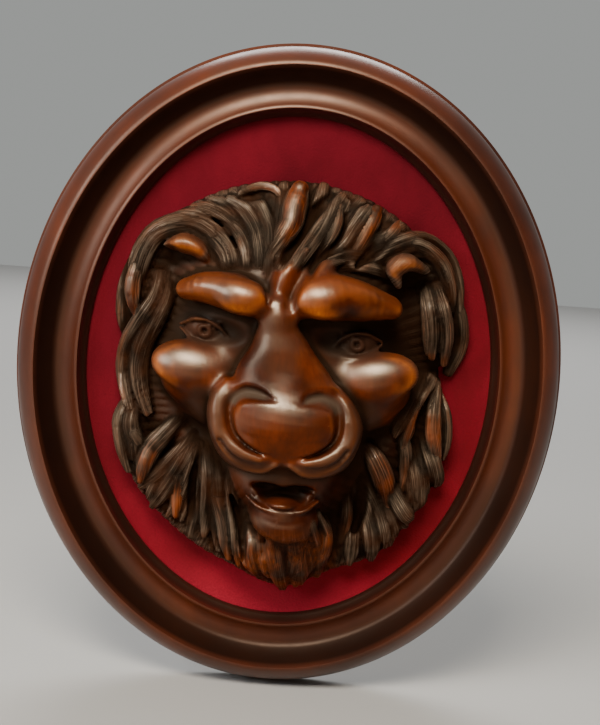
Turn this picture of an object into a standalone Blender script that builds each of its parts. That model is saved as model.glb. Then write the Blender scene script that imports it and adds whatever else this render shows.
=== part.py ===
"""Oval wall plaque: a carved wooden lion's head on crimson velvet in a moulded wooden frame.

The plaque hangs upright. The wall is the plane y = 0, the viewer looks along +Y, +X is to the
viewer's right and +Z is up. The origin is the centre of the flat back.
"""

import math

import bmesh
import bpy
import numpy as np

# Driving sizes, in metres
FRAME_WIDTH = 0.275
FRAME_HEIGHT = 0.323
MOULDING_WIDTH = 0.036
MOULDING_DEPTH = 0.026
ARRIS_INSET = 0.0115
LIP_INSET = 0.0315
LIP_HEIGHT = 0.017
COVE_HEIGHT = 0.0135
SIGHT_EDGE = 0.0015
BEAD_INSET = 0.0025
BEAD_HEIGHT = 0.0065
COVE_INSET = 0.0211
ARRIS_FLAT = 0.0008
OGEE_BOW = 0.0035
COVE_BOW = 0.0012
SIGHT_BOW = 0.0009
REBATE_WIDTH = 0.006
BOARD_THICKNESS = 0.006
VELVET_THICKNESS = 0.0016
HEAD_HEIGHT = 0.205
HEAD_TURN = math.radians(-1.0)
CLEARANCE = 0.0003
BACK_SNAP = 0.0004

# Counts
RING_STEPS = 64
HEAD_TRIANGLES = 6800

# The carving is laid out in its own units: 205 of them are the head's height. Its heights are
# measured from the wall, and its flat back lies at BACK_LEVEL.
CARVING_UNITS = 205.0
BACK_LEVEL = 8.2
GRID_STEP = 1.5
MIDLINE_HEIGHTS = (-110.0, -60.0, -20.0, 8.0, 60.0)
MIDLINE_PLACES = (11.0, 3.2, 1.0, -3.7, -8.2)
CARVING_LOW = (-98.0, -120.0, 5.2)
CARVING_HIGH = (98.0, 104.0, 94.0)
FAR_OUT = 40.0
# Points lower than this share of a grid step above the flat back are set on it
SNAP_SHARE = 0.45

REBATE_DEPTH = BOARD_THICKNESS + VELVET_THICKNESS + 2 * CLEARANCE


def clear_scene():
    for old in list(bpy.data.objects):
        bpy.data.objects.remove(old, do_unlink=True)


def finish(name, colour, roughness):
    material = bpy.data.materials.new(name)
    material.use_nodes = True
    shader = material.node_tree.nodes["Principled BSDF"]
    shader.inputs["Base Color"].default_value = (*colour, 1.0)
    shader.inputs["Roughness"].default_value = roughness
    shader.inputs["Metallic"].default_value = 0.0
    return material


def add_object(name, mesh, material):
    made = bpy.data.objects.new(name, mesh)
    bpy.context.scene.collection.objects.link(made)
    mesh.materials.append(material)
    return made


def oval_point(inset, angle):
    """Point on the oval that runs at a constant inset inside the frame's outer edge."""
    half_width = FRAME_WIDTH / 2
    half_height = FRAME_HEIGHT / 2
    x = half_width * math.cos(angle)
    z = half_height * math.sin(angle)
    normal_x = math.cos(angle) / half_width
    normal_z = math.sin(angle) / half_height
    length = math.hypot(normal_x, normal_z)
    return x - inset * normal_x / length, z - inset * normal_z / length


def arc_between(start, end, bulge, steps):
    """Points from start to end, bowed to the left of the way by bulge, without the start."""
    points = []
    run = (end[0] - start[0], end[1] - start[1])
    length = math.hypot(*run)
    left = (-run[1] / length, run[0] / length)
    for k in range(1, steps + 1):
        t = k / steps
        bow = 4 * bulge * t * (1 - t)
        points.append((start[0] + t * run[0] + bow * left[0], start[1] + t * run[1] + bow * left[1]))
    return points


def moulding_profile():
    """The frame's section as (inset, height) pairs, from its outer back corner round to it."""
    bead = (BEAD_INSET, BEAD_HEIGHT)
    arris = (ARRIS_INSET, MOULDING_DEPTH)
    arris_inner = (ARRIS_INSET + ARRIS_FLAT, MOULDING_DEPTH)
    cove = (COVE_INSET, COVE_HEIGHT)
    lip = (LIP_INSET, LIP_HEIGHT)
    lip_inner = (LIP_INSET + ARRIS_FLAT, LIP_HEIGHT)
    sight = (MOULDING_WIDTH, REBATE_DEPTH + SIGHT_EDGE)
    profile = [(ARRIS_FLAT, 0.0), (0.0, 0.3 * BEAD_HEIGHT), (0.0, 0.7 * BEAD_HEIGHT), bead]
    profile += arc_between(bead, arris, OGEE_BOW, 4)
    profile += [arris_inner]
    profile += arc_between(arris_inner, cove, -COVE_BOW, 2)
    profile += arc_between(cove, lip, -COVE_BOW, 3)
    profile += [lip_inner]
    profile += arc_between(lip_inner, sight, -SIGHT_BOW, 2)
    profile += [(MOULDING_WIDTH, REBATE_DEPTH)]
    profile += [(MOULDING_WIDTH - REBATE_WIDTH, REBATE_DEPTH)]
    profile += [(MOULDING_WIDTH - REBATE_WIDTH, 0.0)]
    return profile


def build_frame():
    profile = moulding_profile()
    bm = bmesh.new()
    rings = []
    for step in range(RING_STEPS):
        angle = 2 * math.pi * step / RING_STEPS
        ring = []
        for inset, height in profile:
            x, z = oval_point(inset, angle)
            ring.append(bm.verts.new((x, -height, z)))
        rings.append(ring)
    for step in range(RING_STEPS):
        here = rings[step]
        after = rings[(step + 1) % RING_STEPS]
        for k in range(len(profile)):
            nxt = (k + 1) % len(profile)
            bm.faces.new((here[k], here[nxt], after[nxt], after[k]))
    bmesh.ops.recalc_face_normals(bm, faces=bm.faces)
    mesh = bpy.data.meshes.new("frame")
    bm.to_mesh(mesh)
    bm.free()
    mesh.shade_smooth()
    mesh.set_sharp_from_angle(angle=math.radians(40))
    add_object("frame", mesh, finish("frame_wood", (0.09, 0.03, 0.018), 0.38))


def oval_slab(name, inset, back, front, material):
    """A flat oval slab between two heights above the wall."""
    bm = bmesh.new()
    rims = []
    for height in (back, front):
        rim = []
        for step in range(RING_STEPS):
            x, z = oval_point(inset, 2 * math.pi * step / RING_STEPS)
            rim.append(bm.verts.new((x, -height, z)))
        rims.append(rim)
    for step in range(RING_STEPS):
        nxt = (step + 1) % RING_STEPS
        bm.faces.new((rims[0][step], rims[0][nxt], rims[1][nxt], rims[1][step]))
    bm.faces.new(rims[0])
    bm.faces.new(rims[1])
    bmesh.ops.recalc_face_normals(bm, faces=bm.faces)
    mesh = bpy.data.meshes.new(name)
    bm.to_mesh(mesh)
    bm.free()
    add_object(name, mesh, material)


def build_backing():
    inset = MOULDING_WIDTH - REBATE_WIDTH + CLEARANCE
    oval_slab("backing_board", inset, 0.0, BOARD_THICKNESS, finish("board_wood", (0.30, 0.19, 0.10), 0.7))
    velvet_back = BOARD_THICKNESS + CLEARANCE
    oval_slab("velvet", inset, velvet_back, velvet_back + VELVET_THICKNESS,
              finish("velvet_pile", (0.22, 0.008, 0.02), 0.95))


def smooth_min(a, b, blend):
    if blend <= 0:
        return np.minimum(a, b)
    h = np.clip(0.5 + 0.5 * (b - a) / blend, 0.0, 1.0)
    return b * (1 - h) + a * h - blend * h * (1 - h)


def curve(points, count):
    """Points along a smooth curve through a few chosen ones."""
    p = np.array(points, float)
    p = np.vstack([2 * p[0] - p[1], p, 2 * p[-1] - p[-2]])
    spans = len(p) - 3
    made = []
    for k in range(count):
        place = k / (count - 1) * spans
        i = min(int(place), spans - 1)
        t = place - i
        a, b, c, d = p[i:i + 4]
        linear = (c - a) * t
        square = (2 * a - 5 * b + 4 * c - d) * t * t
        cube = (3 * b - 3 * c + d - a) * t ** 3
        made.append(0.5 * (2 * b + linear + square + cube))
    return np.array(made)


def spread(values, count):
    """Values set evenly along a path, read at count places."""
    return np.interp(np.linspace(0, 1, count), np.linspace(0, 1, len(values)), values)


def midline(v):
    """Where the face's middle lies at each height: it leans to the right on its way down."""
    return np.interp(v, MIDLINE_HEIGHTS, MIDLINE_PLACES)


def joined(cells, seed):
    """The cells of a mask that can be reached from a seed through one another's sides."""
    found = seed & cells
    while True:
        grown = found.copy()
        for axis in range(3):
            here = np.moveaxis(found, axis, 0)
            mark = np.moveaxis(grown, axis, 0)
            mark[1:] |= here[:-1]
            mark[:-1] |= here[1:]
        grown &= cells
        if grown.sum() == found.sum():
            return found
        found = grown


class Carving:
    """A solid held as distances to its surface on a regular grid: u right, v up, w out."""

    def __init__(self, low, high, step):
        self.low = np.array(low, float)
        self.step = step
        self.axes = []
        for a, b in zip(low, high):
            count = int(math.ceil((b - a) / step)) + 1
            self.axes.append(a + step * np.arange(count))
        self.value = np.full([len(axis) for axis in self.axes], FAR_OUT)

    def window(self, low, high, margin, leaned):
        """The part of the grid round a box, with its coordinates, along the face's midline if leaned."""
        low = np.array(low, float) - margin
        high = np.array(high, float) + margin
        search_low = low.copy()
        search_high = high.copy()
        if leaned:
            shifts = midline(np.array([low[1], high[1]]))
            search_low[0] += shifts.min()
            search_high[0] += shifts.max()
        cut = []
        for axis, a, b in zip(self.axes, search_low, search_high):
            first, last = np.searchsorted(axis, (a, b))
            cut.append(slice(int(first), int(last)))
        u = self.axes[0][cut[0]][:, None, None]
        v = self.axes[1][cut[1]][None, :, None]
        w = self.axes[2][cut[2]][None, None, :]
        if leaned:
            u = u - midline(v)
        return tuple(cut), u, v, w

    def merge(self, cut, distance, blend, carve):
        here = self.value[cut]
        if carve:
            self.value[cut] = -smooth_min(-here, distance, blend)
        else:
            self.value[cut] = smooth_min(here, distance, blend)

    def ball(self, centre, radii, turn=0.0, tip=0.0, blend=3.0, carve=False, leaned=True):
        """Adds or cuts an ellipsoid, turned in the face's plane and tipped about its width."""
        reach = max(radii)
        low = [c - reach for c in centre]
        high = [c + reach for c in centre]
        cut, u, v, w = self.window(low, high, blend + 1.5 * self.step, leaned)
        a, b = math.radians(turn), math.radians(tip)
        spin = np.array([[math.cos(a), -math.sin(a), 0], [math.sin(a), math.cos(a), 0], [0, 0, 1]])
        nod = np.array([[1, 0, 0], [0, math.cos(b), -math.sin(b)], [0, math.sin(b), math.cos(b)]])
        axes = spin @ nod
        level = 0.0
        slope = 1e-9
        for i, radius in enumerate(radii):
            along = (u - centre[0]) * axes[0, i] + (v - centre[1]) * axes[1, i] + (w - centre[2]) * axes[2,
                                                                                                         i]
            level = level + (along / radius) ** 2
            slope = slope + (along / radius ** 2) ** 2
        level = np.sqrt(level)
        self.merge(cut, level * (level - 1.0) / np.sqrt(slope), blend, carve)

    def sweep(self, path, widths, depths, blend=0.8, carve=False, leaned=True):
        """Adds or cuts a bar of oval section along a path."""
        path = np.array(path, float)
        count = len(path)
        widths = spread(widths, count)
        depths = spread(depths, count)
        reach = max(widths.max(), depths.max())
        cut, u, v, w = self.window(path.min(0) - reach, path.max(0) + reach, blend + 1.5 * self.step, leaned)
        shape = np.broadcast_shapes(u.shape, v.shape, w.shape)
        if 0 in shape:
            return
        nearest = np.full(shape, np.inf)
        place = np.zeros(shape)
        for i in range(count - 1):
            run = path[i + 1] - path[i]
            du, dv, dw = u - path[i, 0], v - path[i, 1], w - path[i, 2]
            t = np.clip((du * run[0] + dv * run[1] + dw * run[2]) / (run @ run), 0.0, 1.0)
            gap = (du - t * run[0]) ** 2 + (dv - t * run[1]) ** 2 + (dw - t * run[2]) ** 2
            closer = gap < nearest
            nearest = np.where(closer, gap, nearest)
            place = np.where(closer, i + t, place)
        tangents = np.gradient(path, axis=0)
        tangents /= np.linalg.norm(tangents, axis=1, keepdims=True)
        sides = np.cross([0.0, 0.0, 1.0], tangents)
        sides /= np.linalg.norm(sides, axis=1, keepdims=True) + 1e-9
        ups = np.cross(tangents, sides)
        index = np.minimum(place.astype(int), count - 2)
        t = place - index

        def along(rows):
            return rows[index] * (1 - t) + rows[index + 1] * t

        du = u - along(path[:, 0])
        dv = v - along(path[:, 1])
        dw = w - along(path[:, 2])
        half_width = along(widths)
        half_depth = along(depths)
        across = (du * along(sides[:, 0]) + dv * along(sides[:, 1])) / half_width
        out = (du * along(ups[:, 0]) + dv * along(ups[:, 1]) + dw * along(ups[:, 2])) / half_depth
        beyond = du * along(tangents[:, 0]) + dv * along(tangents[:, 1]) + dw * along(tangents[:, 2])
        at_end = (place <= 0.0) | (place >= count - 1)
        half_end = np.minimum(half_width, half_depth)
        beyond = np.where(at_end, beyond / half_end, 0.0)
        level = np.sqrt(across ** 2 + out ** 2 + beyond ** 2)
        slope = np.sqrt((across / half_width) ** 2 + (out / half_depth) ** 2 + (beyond / half_end) ** 2)
        self.merge(cut, level * (level - 1.0) / (slope + 1e-9), blend, carve)

    def cut_back(self, level):
        self.value = np.maximum(self.value, level - self.axes[2][None, None, :])

    def make_whole(self):
        """Fills closed hollows and drops specks that don't join the main body."""
        inside = self.value < 0
        outer_air = np.zeros_like(inside)
        outer_air[:, :, -1] = True
        self.value[~inside & ~joined(~inside, outer_air)] = -0.1 * self.step
        inside = self.value < 0
        middle = np.zeros_like(inside)
        middle[tuple(n // 2 for n in inside.shape[:2])] = True
        self.value[inside & ~joined(inside, middle)] = 0.1 * self.step

    def untangle(self):
        """Fills grid points where parts of the surface would meet only along an edge or at a corner."""
        while True:
            inside = self.value < 0
            fill = np.zeros_like(inside)
            for b, c in ((0, 1), (0, 2), (1, 2)):
                here = np.moveaxis(inside, (b, c), (0, 1))
                mark = np.moveaxis(fill, (b, c), (0, 1))
                p, q, r, s = here[:-1, :-1], here[1:, :-1], here[1:, 1:], here[:-1, 1:]
                mark[1:, :-1] |= p & r & ~q & ~s
                mark[:-1, :-1] |= q & s & ~p & ~r
            n = [k - 1 for k in inside.shape]
            corners = [(i, j, k) for i in (0, 1) for j in (0, 1) for k in (0, 1)]
            blocks = [inside[i:i + n[0], j:j + n[1], k:k + n[2]] for i, j, k in corners]
            total = sum(block.astype(int) for block in blocks)
            for a in range(4):
                pair = blocks[a].astype(int) + blocks[7 - a]
                lone = ((total == 2) & (pair == 2)) | ((total == 6) & (pair == 0))
                for i, j, k in corners:
                    fill[i:i + n[0], j:j + n[1], k:k + n[2]] |= lone
            fill &= ~inside
            if not fill.any():
                return
            self.value[fill] = -0.1 * self.step

    def front(self):
        """Height of the front surface over every column of the grid."""
        inside = self.value < 0
        last = inside.shape[2] - 1 - np.argmax(inside[:, :, ::-1], axis=2)
        i, j = np.indices(last.shape)
        deep = self.value[i, j, last]
        past = self.value[i, j, np.minimum(last + 1, inside.shape[2] - 1)]
        part = np.clip(-deep / np.maximum(past - deep, 1e-6), 0.0, 1.0)
        return np.where(inside.any(axis=2), self.axes[2][last] + part * self.step, BACK_LEVEL)

    def surface(self):
        """Points and four-sided faces of the surface: one point in each grid cell that it crosses."""
        inside = self.value < 0
        corners = [(i, j, k) for i in (0, 1) for j in (0, 1) for k in (0, 1)]
        cells_shape = [n - 1 for n in inside.shape]
        total = np.zeros(cells_shape, int)
        for i, j, k in corners:
            total += inside[i:i + cells_shape[0], j:j + cells_shape[1], k:k + cells_shape[2]]
        crossed = (total > 0) & (total < 8)
        cells = np.argwhere(crossed)
        number = np.full(cells_shape, -1)
        number[crossed] = np.arange(len(cells))
        values = [self.value[cells[:, 0] + i, cells[:, 1] + j, cells[:, 2] + k] for i, j, k in corners]
        summed = np.zeros((len(cells), 3))
        hits = np.zeros((len(cells), 1))
        for a in range(8):
            for b in range(a + 1, 8):
                step = np.subtract(corners[b], corners[a])
                if abs(step).sum() != 1:
                    continue
                va, vb = values[a], values[b]
                cross = (va < 0) != (vb < 0)
                t = np.where(cross, va / np.where(cross, va - vb, 1.0), 0.0)[:, None]
                summed += np.where(cross[:, None], corners[a] + t * step, 0.0)
                hits += cross[:, None]
        points = (cells + summed / hits) * self.step + self.low
        faces = []
        for axis in range(3):
            first = np.delete(inside, -1, axis)
            second = np.delete(inside, 0, axis)
            edges = np.argwhere(first != second)
            others = [k for k in range(3) if k != axis]
            ring = []
            for back_b, back_c in ((0, 0), (1, 0), (1, 1), (0, 1)):
                cell = edges.copy()
                cell[:, others[0]] -= back_b
                cell[:, others[1]] -= back_c
                ring.append(number[tuple(cell.T)])
            quad = np.stack(ring, 1)
            leaving = first[tuple(edges.T)]
            if axis == 1:
                leaving = ~leaving
            quad[~leaving] = quad[~leaving][:, ::-1]
            faces.append(quad)
        return points, np.concatenate(faces)


class Mane:
    """Lays locks over the head, each following the surface that it lies on."""

    def __init__(self, carving):
        self.carving = carving
        self.heights = carving.front()

    def height_under(self, u, v):
        low, step = self.carving.low, self.carving.step
        a = np.clip((u - low[0]) / step, 0, self.heights.shape[0] - 1.001)
        b = np.clip((v - low[1]) / step, 0, self.heights.shape[1] - 1.001)
        i, j = a.astype(int), b.astype(int)
        a, b = a - i, b - j
        h = self.heights
        near = h[i, j] * (1 - b) + h[i, j + 1] * b
        far = h[i + 1, j] * (1 - b) + h[i + 1, j + 1] * b
        return near * (1 - a) + far * a

    def lock(self, points, width, lift=1.0, tip=0.35, root=0.6, full=0.45, thick=0.85):
        """One lock along chosen points: slim at its root, widest at the share full, drawn in at its tip."""
        count = 16
        uv = curve(points, count)
        t = np.linspace(0, 1, count)
        under = self.height_under(uv[:, 0], uv[:, 1])
        under = np.convolve(np.pad(under, 2, mode="edge"), np.ones(5) / 5, mode="valid")
        swell = root + (1 - root) * np.sin(0.5 * math.pi * np.clip(t / full, 0, 1))
        fading = max(0.6, full)
        fade = 1 - (1 - tip) * np.clip((t - fading) / (1 - fading), 0, 1) ** 2
        half = 0.5 * width * swell * fade
        deep = half * thick
        risen = np.clip(t / (0.65 * full), 0, 1)
        w = under + (lift + 0.65 * deep) * risen - deep + 1.5 * np.sin(math.pi * t)
        w = np.maximum(w, BACK_LEVEL + 0.75 * deep)
        self.carving.sweep(np.column_stack([uv, w]), half, deep, blend=0.5, leaned=False)

    def fan(self, guides, count, width, lift=(1.0, 1.0), **shape):
        """Locks spread between guide curves of equally many points, each a little off the even spacing."""
        guides = np.array(guides, float)
        stops = np.linspace(0, 1, len(guides))
        for k in range(count):
            t = min(max((k + 0.3 * math.sin(5.1 * k)) / (count - 1), 0.0), 1.0)
            points = []
            for i in range(guides.shape[1]):
                points.append([np.interp(t, stops, guides[:, i, j]) for j in (0, 1)])
            points = np.array(points)
            points[-1] += (0.17 + 0.17 * math.sin(3.7 * k)) * (points[-2] - points[-1])
            points[1:-1, 0] += 0.7 * math.sin(2.9 * k)
            self.lock(points, width * (1.0 + 0.22 * math.sin(2.4 * k)), lift=lift[k % 2], **shape)

    def parting(self, points, width, depth):
        """A dark furrow between locks, cut into the surface that they lie on and shallow at its ends."""
        count = 16
        uv = curve(points, count)
        under = self.height_under(uv[:, 0], uv[:, 1])
        under = np.maximum(under, BACK_LEVEL + depth + 2.5)
        path = np.column_stack([uv, under + 5.0])
        self.carving.sweep(path, [0.3 * width, 0.6 * width, 0.65 * width, 0.6 * width, 0.3 * width],
                           [3.5, 4.2 + 0.5 * depth, 4.5 + 0.6 * depth, 4.2 + 0.5 * depth, 3.0], blend=2.2,
                           carve=True, leaned=False)


def masses(head):
    """The broad forms that everything else lies on."""
    head.ball((-1, -3, 3), (77, 91, 33), blend=0, leaned=False)
    head.ball((-1, 52, 6), (65, 40, 30), blend=8, leaned=False)
    for side in (-1, 1):
        head.ball((side * 66, 36, 8), (18, 30, 18), turn=side * 8, blend=4, leaned=False)
        head.ball((side * 24, -8, 32), (16, 24, 18), blend=8)
    head.ball((0, 14, 8), (56, 56, 43), blend=7)
    head.ball((0, 43, 16), (55, 25, 34), blend=6)
    head.ball((0, -44, 10), (33, 36, 44), blend=7)
    head.ball((4, -80, 14), (30, 26, 26), blend=7, leaned=False)
    head.sweep(curve([(-70, 54, 15), (-52, 69, 15), (-28, 80, 14), (0, 84, 14), (24, 80, 14), (44, 71, 15),
                      (64, 57, 15)], 24), [9, 9.5, 9.5, 9], [12, 12], blend=6, leaned=False)
    head.sweep(curve([(-75, -28, 13), (-72, -46, 13), (-63, -62, 13), (-47, -77, 13), (-30, -88, 13),
                      (-12, -95, 13), (6, -101, 13), (24, -93, 13), (44, -85, 13), (56, -74, 13),
                      (67, -56, 13), (75, -34, 13), (74, -16, 13), (70, -2, 13)], 40), [8, 8, 8, 7], [9, 9],
               blend=6, leaned=False)
    head.ball((-45, -28, 37), (10, 11, 14), turn=20, blend=4, carve=True)
    head.ball((46, -27, 37), (10, 15, 14), turn=-10, blend=4, carve=True)


def nose_bridge(head):
    head.sweep(curve([(-1, 34, 52.5), (-1, 24, 53.5), (0, 14, 54), (0.5, 5, 54.4), (1, -3, 55.2)], 14),
               [6, 9.5, 15, 21.5, 25], [8.5, 8.8, 9.5, 10.5, 11.5], blend=4)
    head.ball((-1.5, 28.5, 56.5), (6.5, 7, 5), blend=4)
    head.ball((0, -20, 53), (35, 22.5, 17), blend=4)
    for side in (-1, 1):
        head.ball((side * 16, -32, 52.5), (16, 12.5, 14), blend=4)


def brows_and_cheeks(head):
    head.sweep(curve([(-5.5, 31, 52), (-11.5, 34.5, 53), (-20.5, 38, 52.5), (-34, 39.5, 48), (-43, 38, 41)],
                     18),
               [3, 7.4, 9.6, 7.6, 5.5], [6, 11, 13, 11.5, 9], blend=5)
    head.sweep(curve([(7, 31.5, 52.5), (15, 37.5, 53), (24, 40.5, 51.5), (38, 39.5, 46.5),
                      (51, 37.5, 37.5)], 18),
               [3.2, 9.6, 11.6, 9.6, 6], [6, 12.5, 14, 12.5, 9.5], blend=5)
    head.ball((-14.5, 35, 55), (8.5, 7, 9.5), blend=6)
    head.ball((-43.5, -0.5, 28), (19.5, 17.5, 26.5), blend=6)
    head.ball((-38, -13, 28), (12, 13, 18), blend=10)
    head.ball((-41, 3.5, 30), (17.5, 10, 24), turn=4, blend=10)
    head.ball((46.5, 4, 27), (20.5, 14.5, 26.5), turn=14, blend=6)
    head.ball((40, -8, 28), (12, 12.5, 18), turn=8, blend=10)
    head.ball((45, 8.5, 29), (17.5, 8.5, 23.5), turn=14, blend=10)


def eyes(head):
    for side in (-1, 1):
        head.ball((side * 33.5, 20.5, 55), (18.5, 8.6, 14), turn=side * 8, blend=2, carve=True)
        head.ball((side * 36.3, 18, 33.5), (11, 7.8, 10.5), turn=side * 12, blend=1)
        upper = [(side * 24, 14.5, 42.5), (side * 30, 21.3, 44.0), (side * 40, 24, 43.2),
                 (side * 48.5, 20.5, 37)]
        lower = [(side * 24, 13, 42.5), (side * 31, 11.5, 44.2), (side * 41, 13, 43.4),
                 (side * 48.5, 18.5, 37)]
        head.sweep(curve(upper, 14), [0.6, 1.1, 1.1, 0.7], [1.2, 1.5, 1.5, 1.2], blend=1.3)
        head.sweep(curve(lower, 14), [0.6, 1.0, 1.0, 0.7], [1.2, 1.4, 1.4, 1.2], blend=1.3)


def glabella(head):
    """The ridge between the brows and the two pointed tufts that it ends in."""
    head.sweep(curve([(-1.5, 34, 49), (0, 41, 50.5), (3.5, 50, 49.5), (12, 61, 45)], 14), [3, 5, 6.5, 1.5],
               [6, 6.5, 6.5, 3], blend=3)
    head.sweep(curve([(12, 40, 52), (16, 48, 50.5), (21, 53.5, 47), (29, 57.5, 42)], 12), [5, 5.5, 4, 0.8],
               [6, 7, 5, 2], blend=4)
    head.sweep(curve([(4.5, 33, 60), (7, 41, 61), (10.5, 50, 58), (17, 58, 53)], 14), [0.7, 1.2, 1.4, 1.1],
               [2.4, 3.6, 4.4, 3.6], blend=2, carve=True)
    head.sweep(curve([(-6, 35, 60), (-5.5, 43, 59), (-2.5, 53, 56)], 12), [0.6, 1.1, 1.3], [2.4, 3.6, 4.2],
               blend=2, carve=True)


def nose(head):
    pad = [(2.3, -5.5, 55.6), (2, -9, 57), (1.5, -12.5, 58.3), (1.2, -16, 59.7), (1, -19.5, 60.3),
           (1, -27, 55), (1, -33, 50)]
    head.sweep(curve(pad, 22), [15, 20, 26, 27.5, 25.5, 17.5, 7.5], [11.6, 12, 12.6, 13.1, 13, 12, 9.5],
               blend=2.5)
    for side in (-1, 1):
        wing = [(side * 26.5, -4, 53.5), (side * 30.3, -10, 55.5), (side * 32, -18, 56.5),
                (side * 30.3, -27.5, 58.5), (side * 22, -36, 60.5), (side * 11, -38.5, 61.5)]
        head.sweep(curve(wing, 20), [1.5, 3.2, 4.4, 4.2, 3.6, 2.2], [4.5, 5.8, 7, 7, 6.2, 4.5], blend=5)
        roll = [(side * 34.5, -21, 53), (side * 30, -35, 56.5), (side * 20, -42, 59), (side * 10, -43.3, 60),
                (side * 3, -39.5, 61.5)]
        head.sweep(curve(roll, 18), [1.0, 1.5, 1.6, 1.5, 1.0], [3.4, 3.2, 3.0, 3.0, 2.8], blend=3)
        crease = [(side * 30, -30, 65.5), (side * 25.5, -36, 66.5), (side * 18, -39.8, 67.3),
                  (side * 8, -40.2, 67.8)]
        head.sweep(curve(crease, 14), [0.9, 1.3, 1.3, 0.9], [2.2, 2.9, 2.9, 2.2], blend=2, carve=True)
        scoop = [(side * 8.5 + 3, -7.8, 76), (side * 13 + 2.2, -6.2, 74), (side * 19.5 + 1.5, -6.2, 72),
                 (side * 24.5 + 1, -10, 71), (side * 26, -17, 71), (side * 24.3, -25, 71),
                 (side * 19.3, -30.5, 71.5), (side * 13, -33.8, 73), (side * 7, -35.5, 74.5)]
        head.sweep(curve(scoop, 28), [1.2, 3.4, 4.4, 4.0, 2.8, 2.1, 1.7, 1.3, 0.8],
                   [6.5, 9.6, 11, 11, 11, 10.8, 10.4, 10, 8.5], blend=1.6, carve=True)


def mouth(head):
    head.sweep(curve([(0, -37, 73), (0, -47, 64)], 6), [1.2, 1.8], [4, 4], blend=1.2, carve=True)
    head.ball((0, -69, 42.5), (16.5, 12, 14), blend=7)
    for side in (-1, 1):
        head.ball((side * 8.5, -53.5, 62), (11, 3.6, 20), blend=1.2, carve=True)
    head.ball((0, -56.5, 62), (17.5, 5.2, 21), blend=1.2, carve=True)
    head.ball((0, -60.5, 46), (8.5, 3, 12), blend=1)
    head.sweep(curve([(-17, -58.5, 47), (-10.5, -62.4, 54), (0, -64.3, 56), (10.5, -62.2, 54),
                      (17, -58, 47)], 16),
               [0.7, 1.1, 1.2, 1.1, 0.7], [2, 2], blend=1.5)
    head.sweep(curve([(-14, -66.5, 54), (0, -69.5, 58), (14, -66, 54)], 12), [0.6, 0.9, 0.6],
               [1.2, 1.4, 1.2], blend=2, carve=True)


def ears(head):
    head.sweep(curve([(-52.5, 57.5, 32), (-46.5, 59, 36), (-39.5, 56.5, 36), (-34, 50.5, 32)], 14),
               [3, 5.2, 4.2, 2.5], [7, 8, 8, 6], blend=2)
    head.ball((-54.5, 51, 41), (6.5, 6.5, 13), blend=1.5, carve=True)
    head.sweep(curve([(56, 49.5, 32), (54.5, 55.5, 35), (60, 59, 35.5), (68, 57, 30)], 14),
               [2.2, 4.4, 5, 2.6], [6, 8, 8, 6], blend=2)
    head.ball((65.5, 51, 40), (6.5, 4.8, 12), turn=-25, blend=1.5, carve=True)


def crown(mane):
    """Fine hair that runs up and outwards, parted by furrows, with bold curling locks over it."""
    mane.fan([[(-33, 48), (-36, 56), (-45, 63), (-58, 67), (-71, 62)],
              [(-27, 49), (-31, 60), (-40, 68), (-52, 72), (-62, 71)],
              [(-21, 49), (-24, 60), (-29, 70), (-38, 77), (-48, 79)],
              [(-14, 50), (-15, 61), (-17, 71), (-22, 80), (-30, 87)]], 9, 10, tip=0.55, lift=(-0.6, 2.2))
    mane.fan([[(-13, 50), (-13, 60), (-13, 70), (-14, 80), (-16, 91)],
              [(-6, 52), (-2, 61), (3, 70), (7, 79), (9, 92)],
              [(4, 54), (9, 63), (13, 71), (16, 80), (20, 89)],
              [(13, 58), (20, 65), (25, 73), (29, 80), (33, 85)]], 7, 10, tip=0.55, lift=(-0.6, 2.0))
    mane.fan([[(22, 57), (31, 64), (40, 71), (47, 78)],
              [(27, 55), (38, 62), (50, 68), (60, 71)],
              [(31, 53), (43, 58), (56, 63), (70, 61)]], 6, 8.5, tip=0.55, lift=(-0.6, 2.0))
    mane.fan([[(14, 58), (24, 62), (36, 61), (47, 56)],
              [(19, 53.5), (28, 55), (38, 54), (48, 50)]], 3, 6.5, tip=0.5, lift=(0.4, 1.6))
    mane.parting([(16, 91), (9, 83), (2, 73), (-3, 63), (-7, 53.5)], 5.5, 3.2)
    mane.parting([(46, 79), (39, 66), (29, 56)], 4.5, 3)
    mane.parting([(-31, 83.5), (-24, 84.5), (-17, 86)], 4, 2.4)
    mane.lock([(-12.5, 47), (-13, 56), (-9, 64), (-5, 72), (-4, 80), (-2, 89)], 14, lift=3.6, root=0.35,
              full=0.85, tip=0.7, thick=1.0)
    mane.lock([(8, 57), (13, 65), (17, 74), (18, 83)], 7.5, lift=2.2, root=0.4, full=0.7, tip=0.5)
    mane.lock([(20, 55), (27, 63), (32, 73), (36, 83)], 11, lift=2.4, root=0.35, full=0.75, tip=0.6)
    mane.lock([(-23, 49), (-25, 59), (-30, 67), (-40, 73)], 8, lift=2.4, full=0.6, tip=0.4)
    mane.lock([(-18.5, 51), (-20.5, 61), (-20, 71), (-22, 80)], 7.5, lift=2.2, full=0.6, tip=0.4)
    mane.lock([(-33, 81), (-28, 86.5), (-21, 89.5), (-14, 88.5), (-10, 84)], 5, lift=2.4, root=0.5, full=0.5,
              tip=0.4)
    mane.lock([(29, 56), (37, 65), (44, 72), (48, 78)], 7.5, lift=1.8, full=0.6, tip=0.5)


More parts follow.
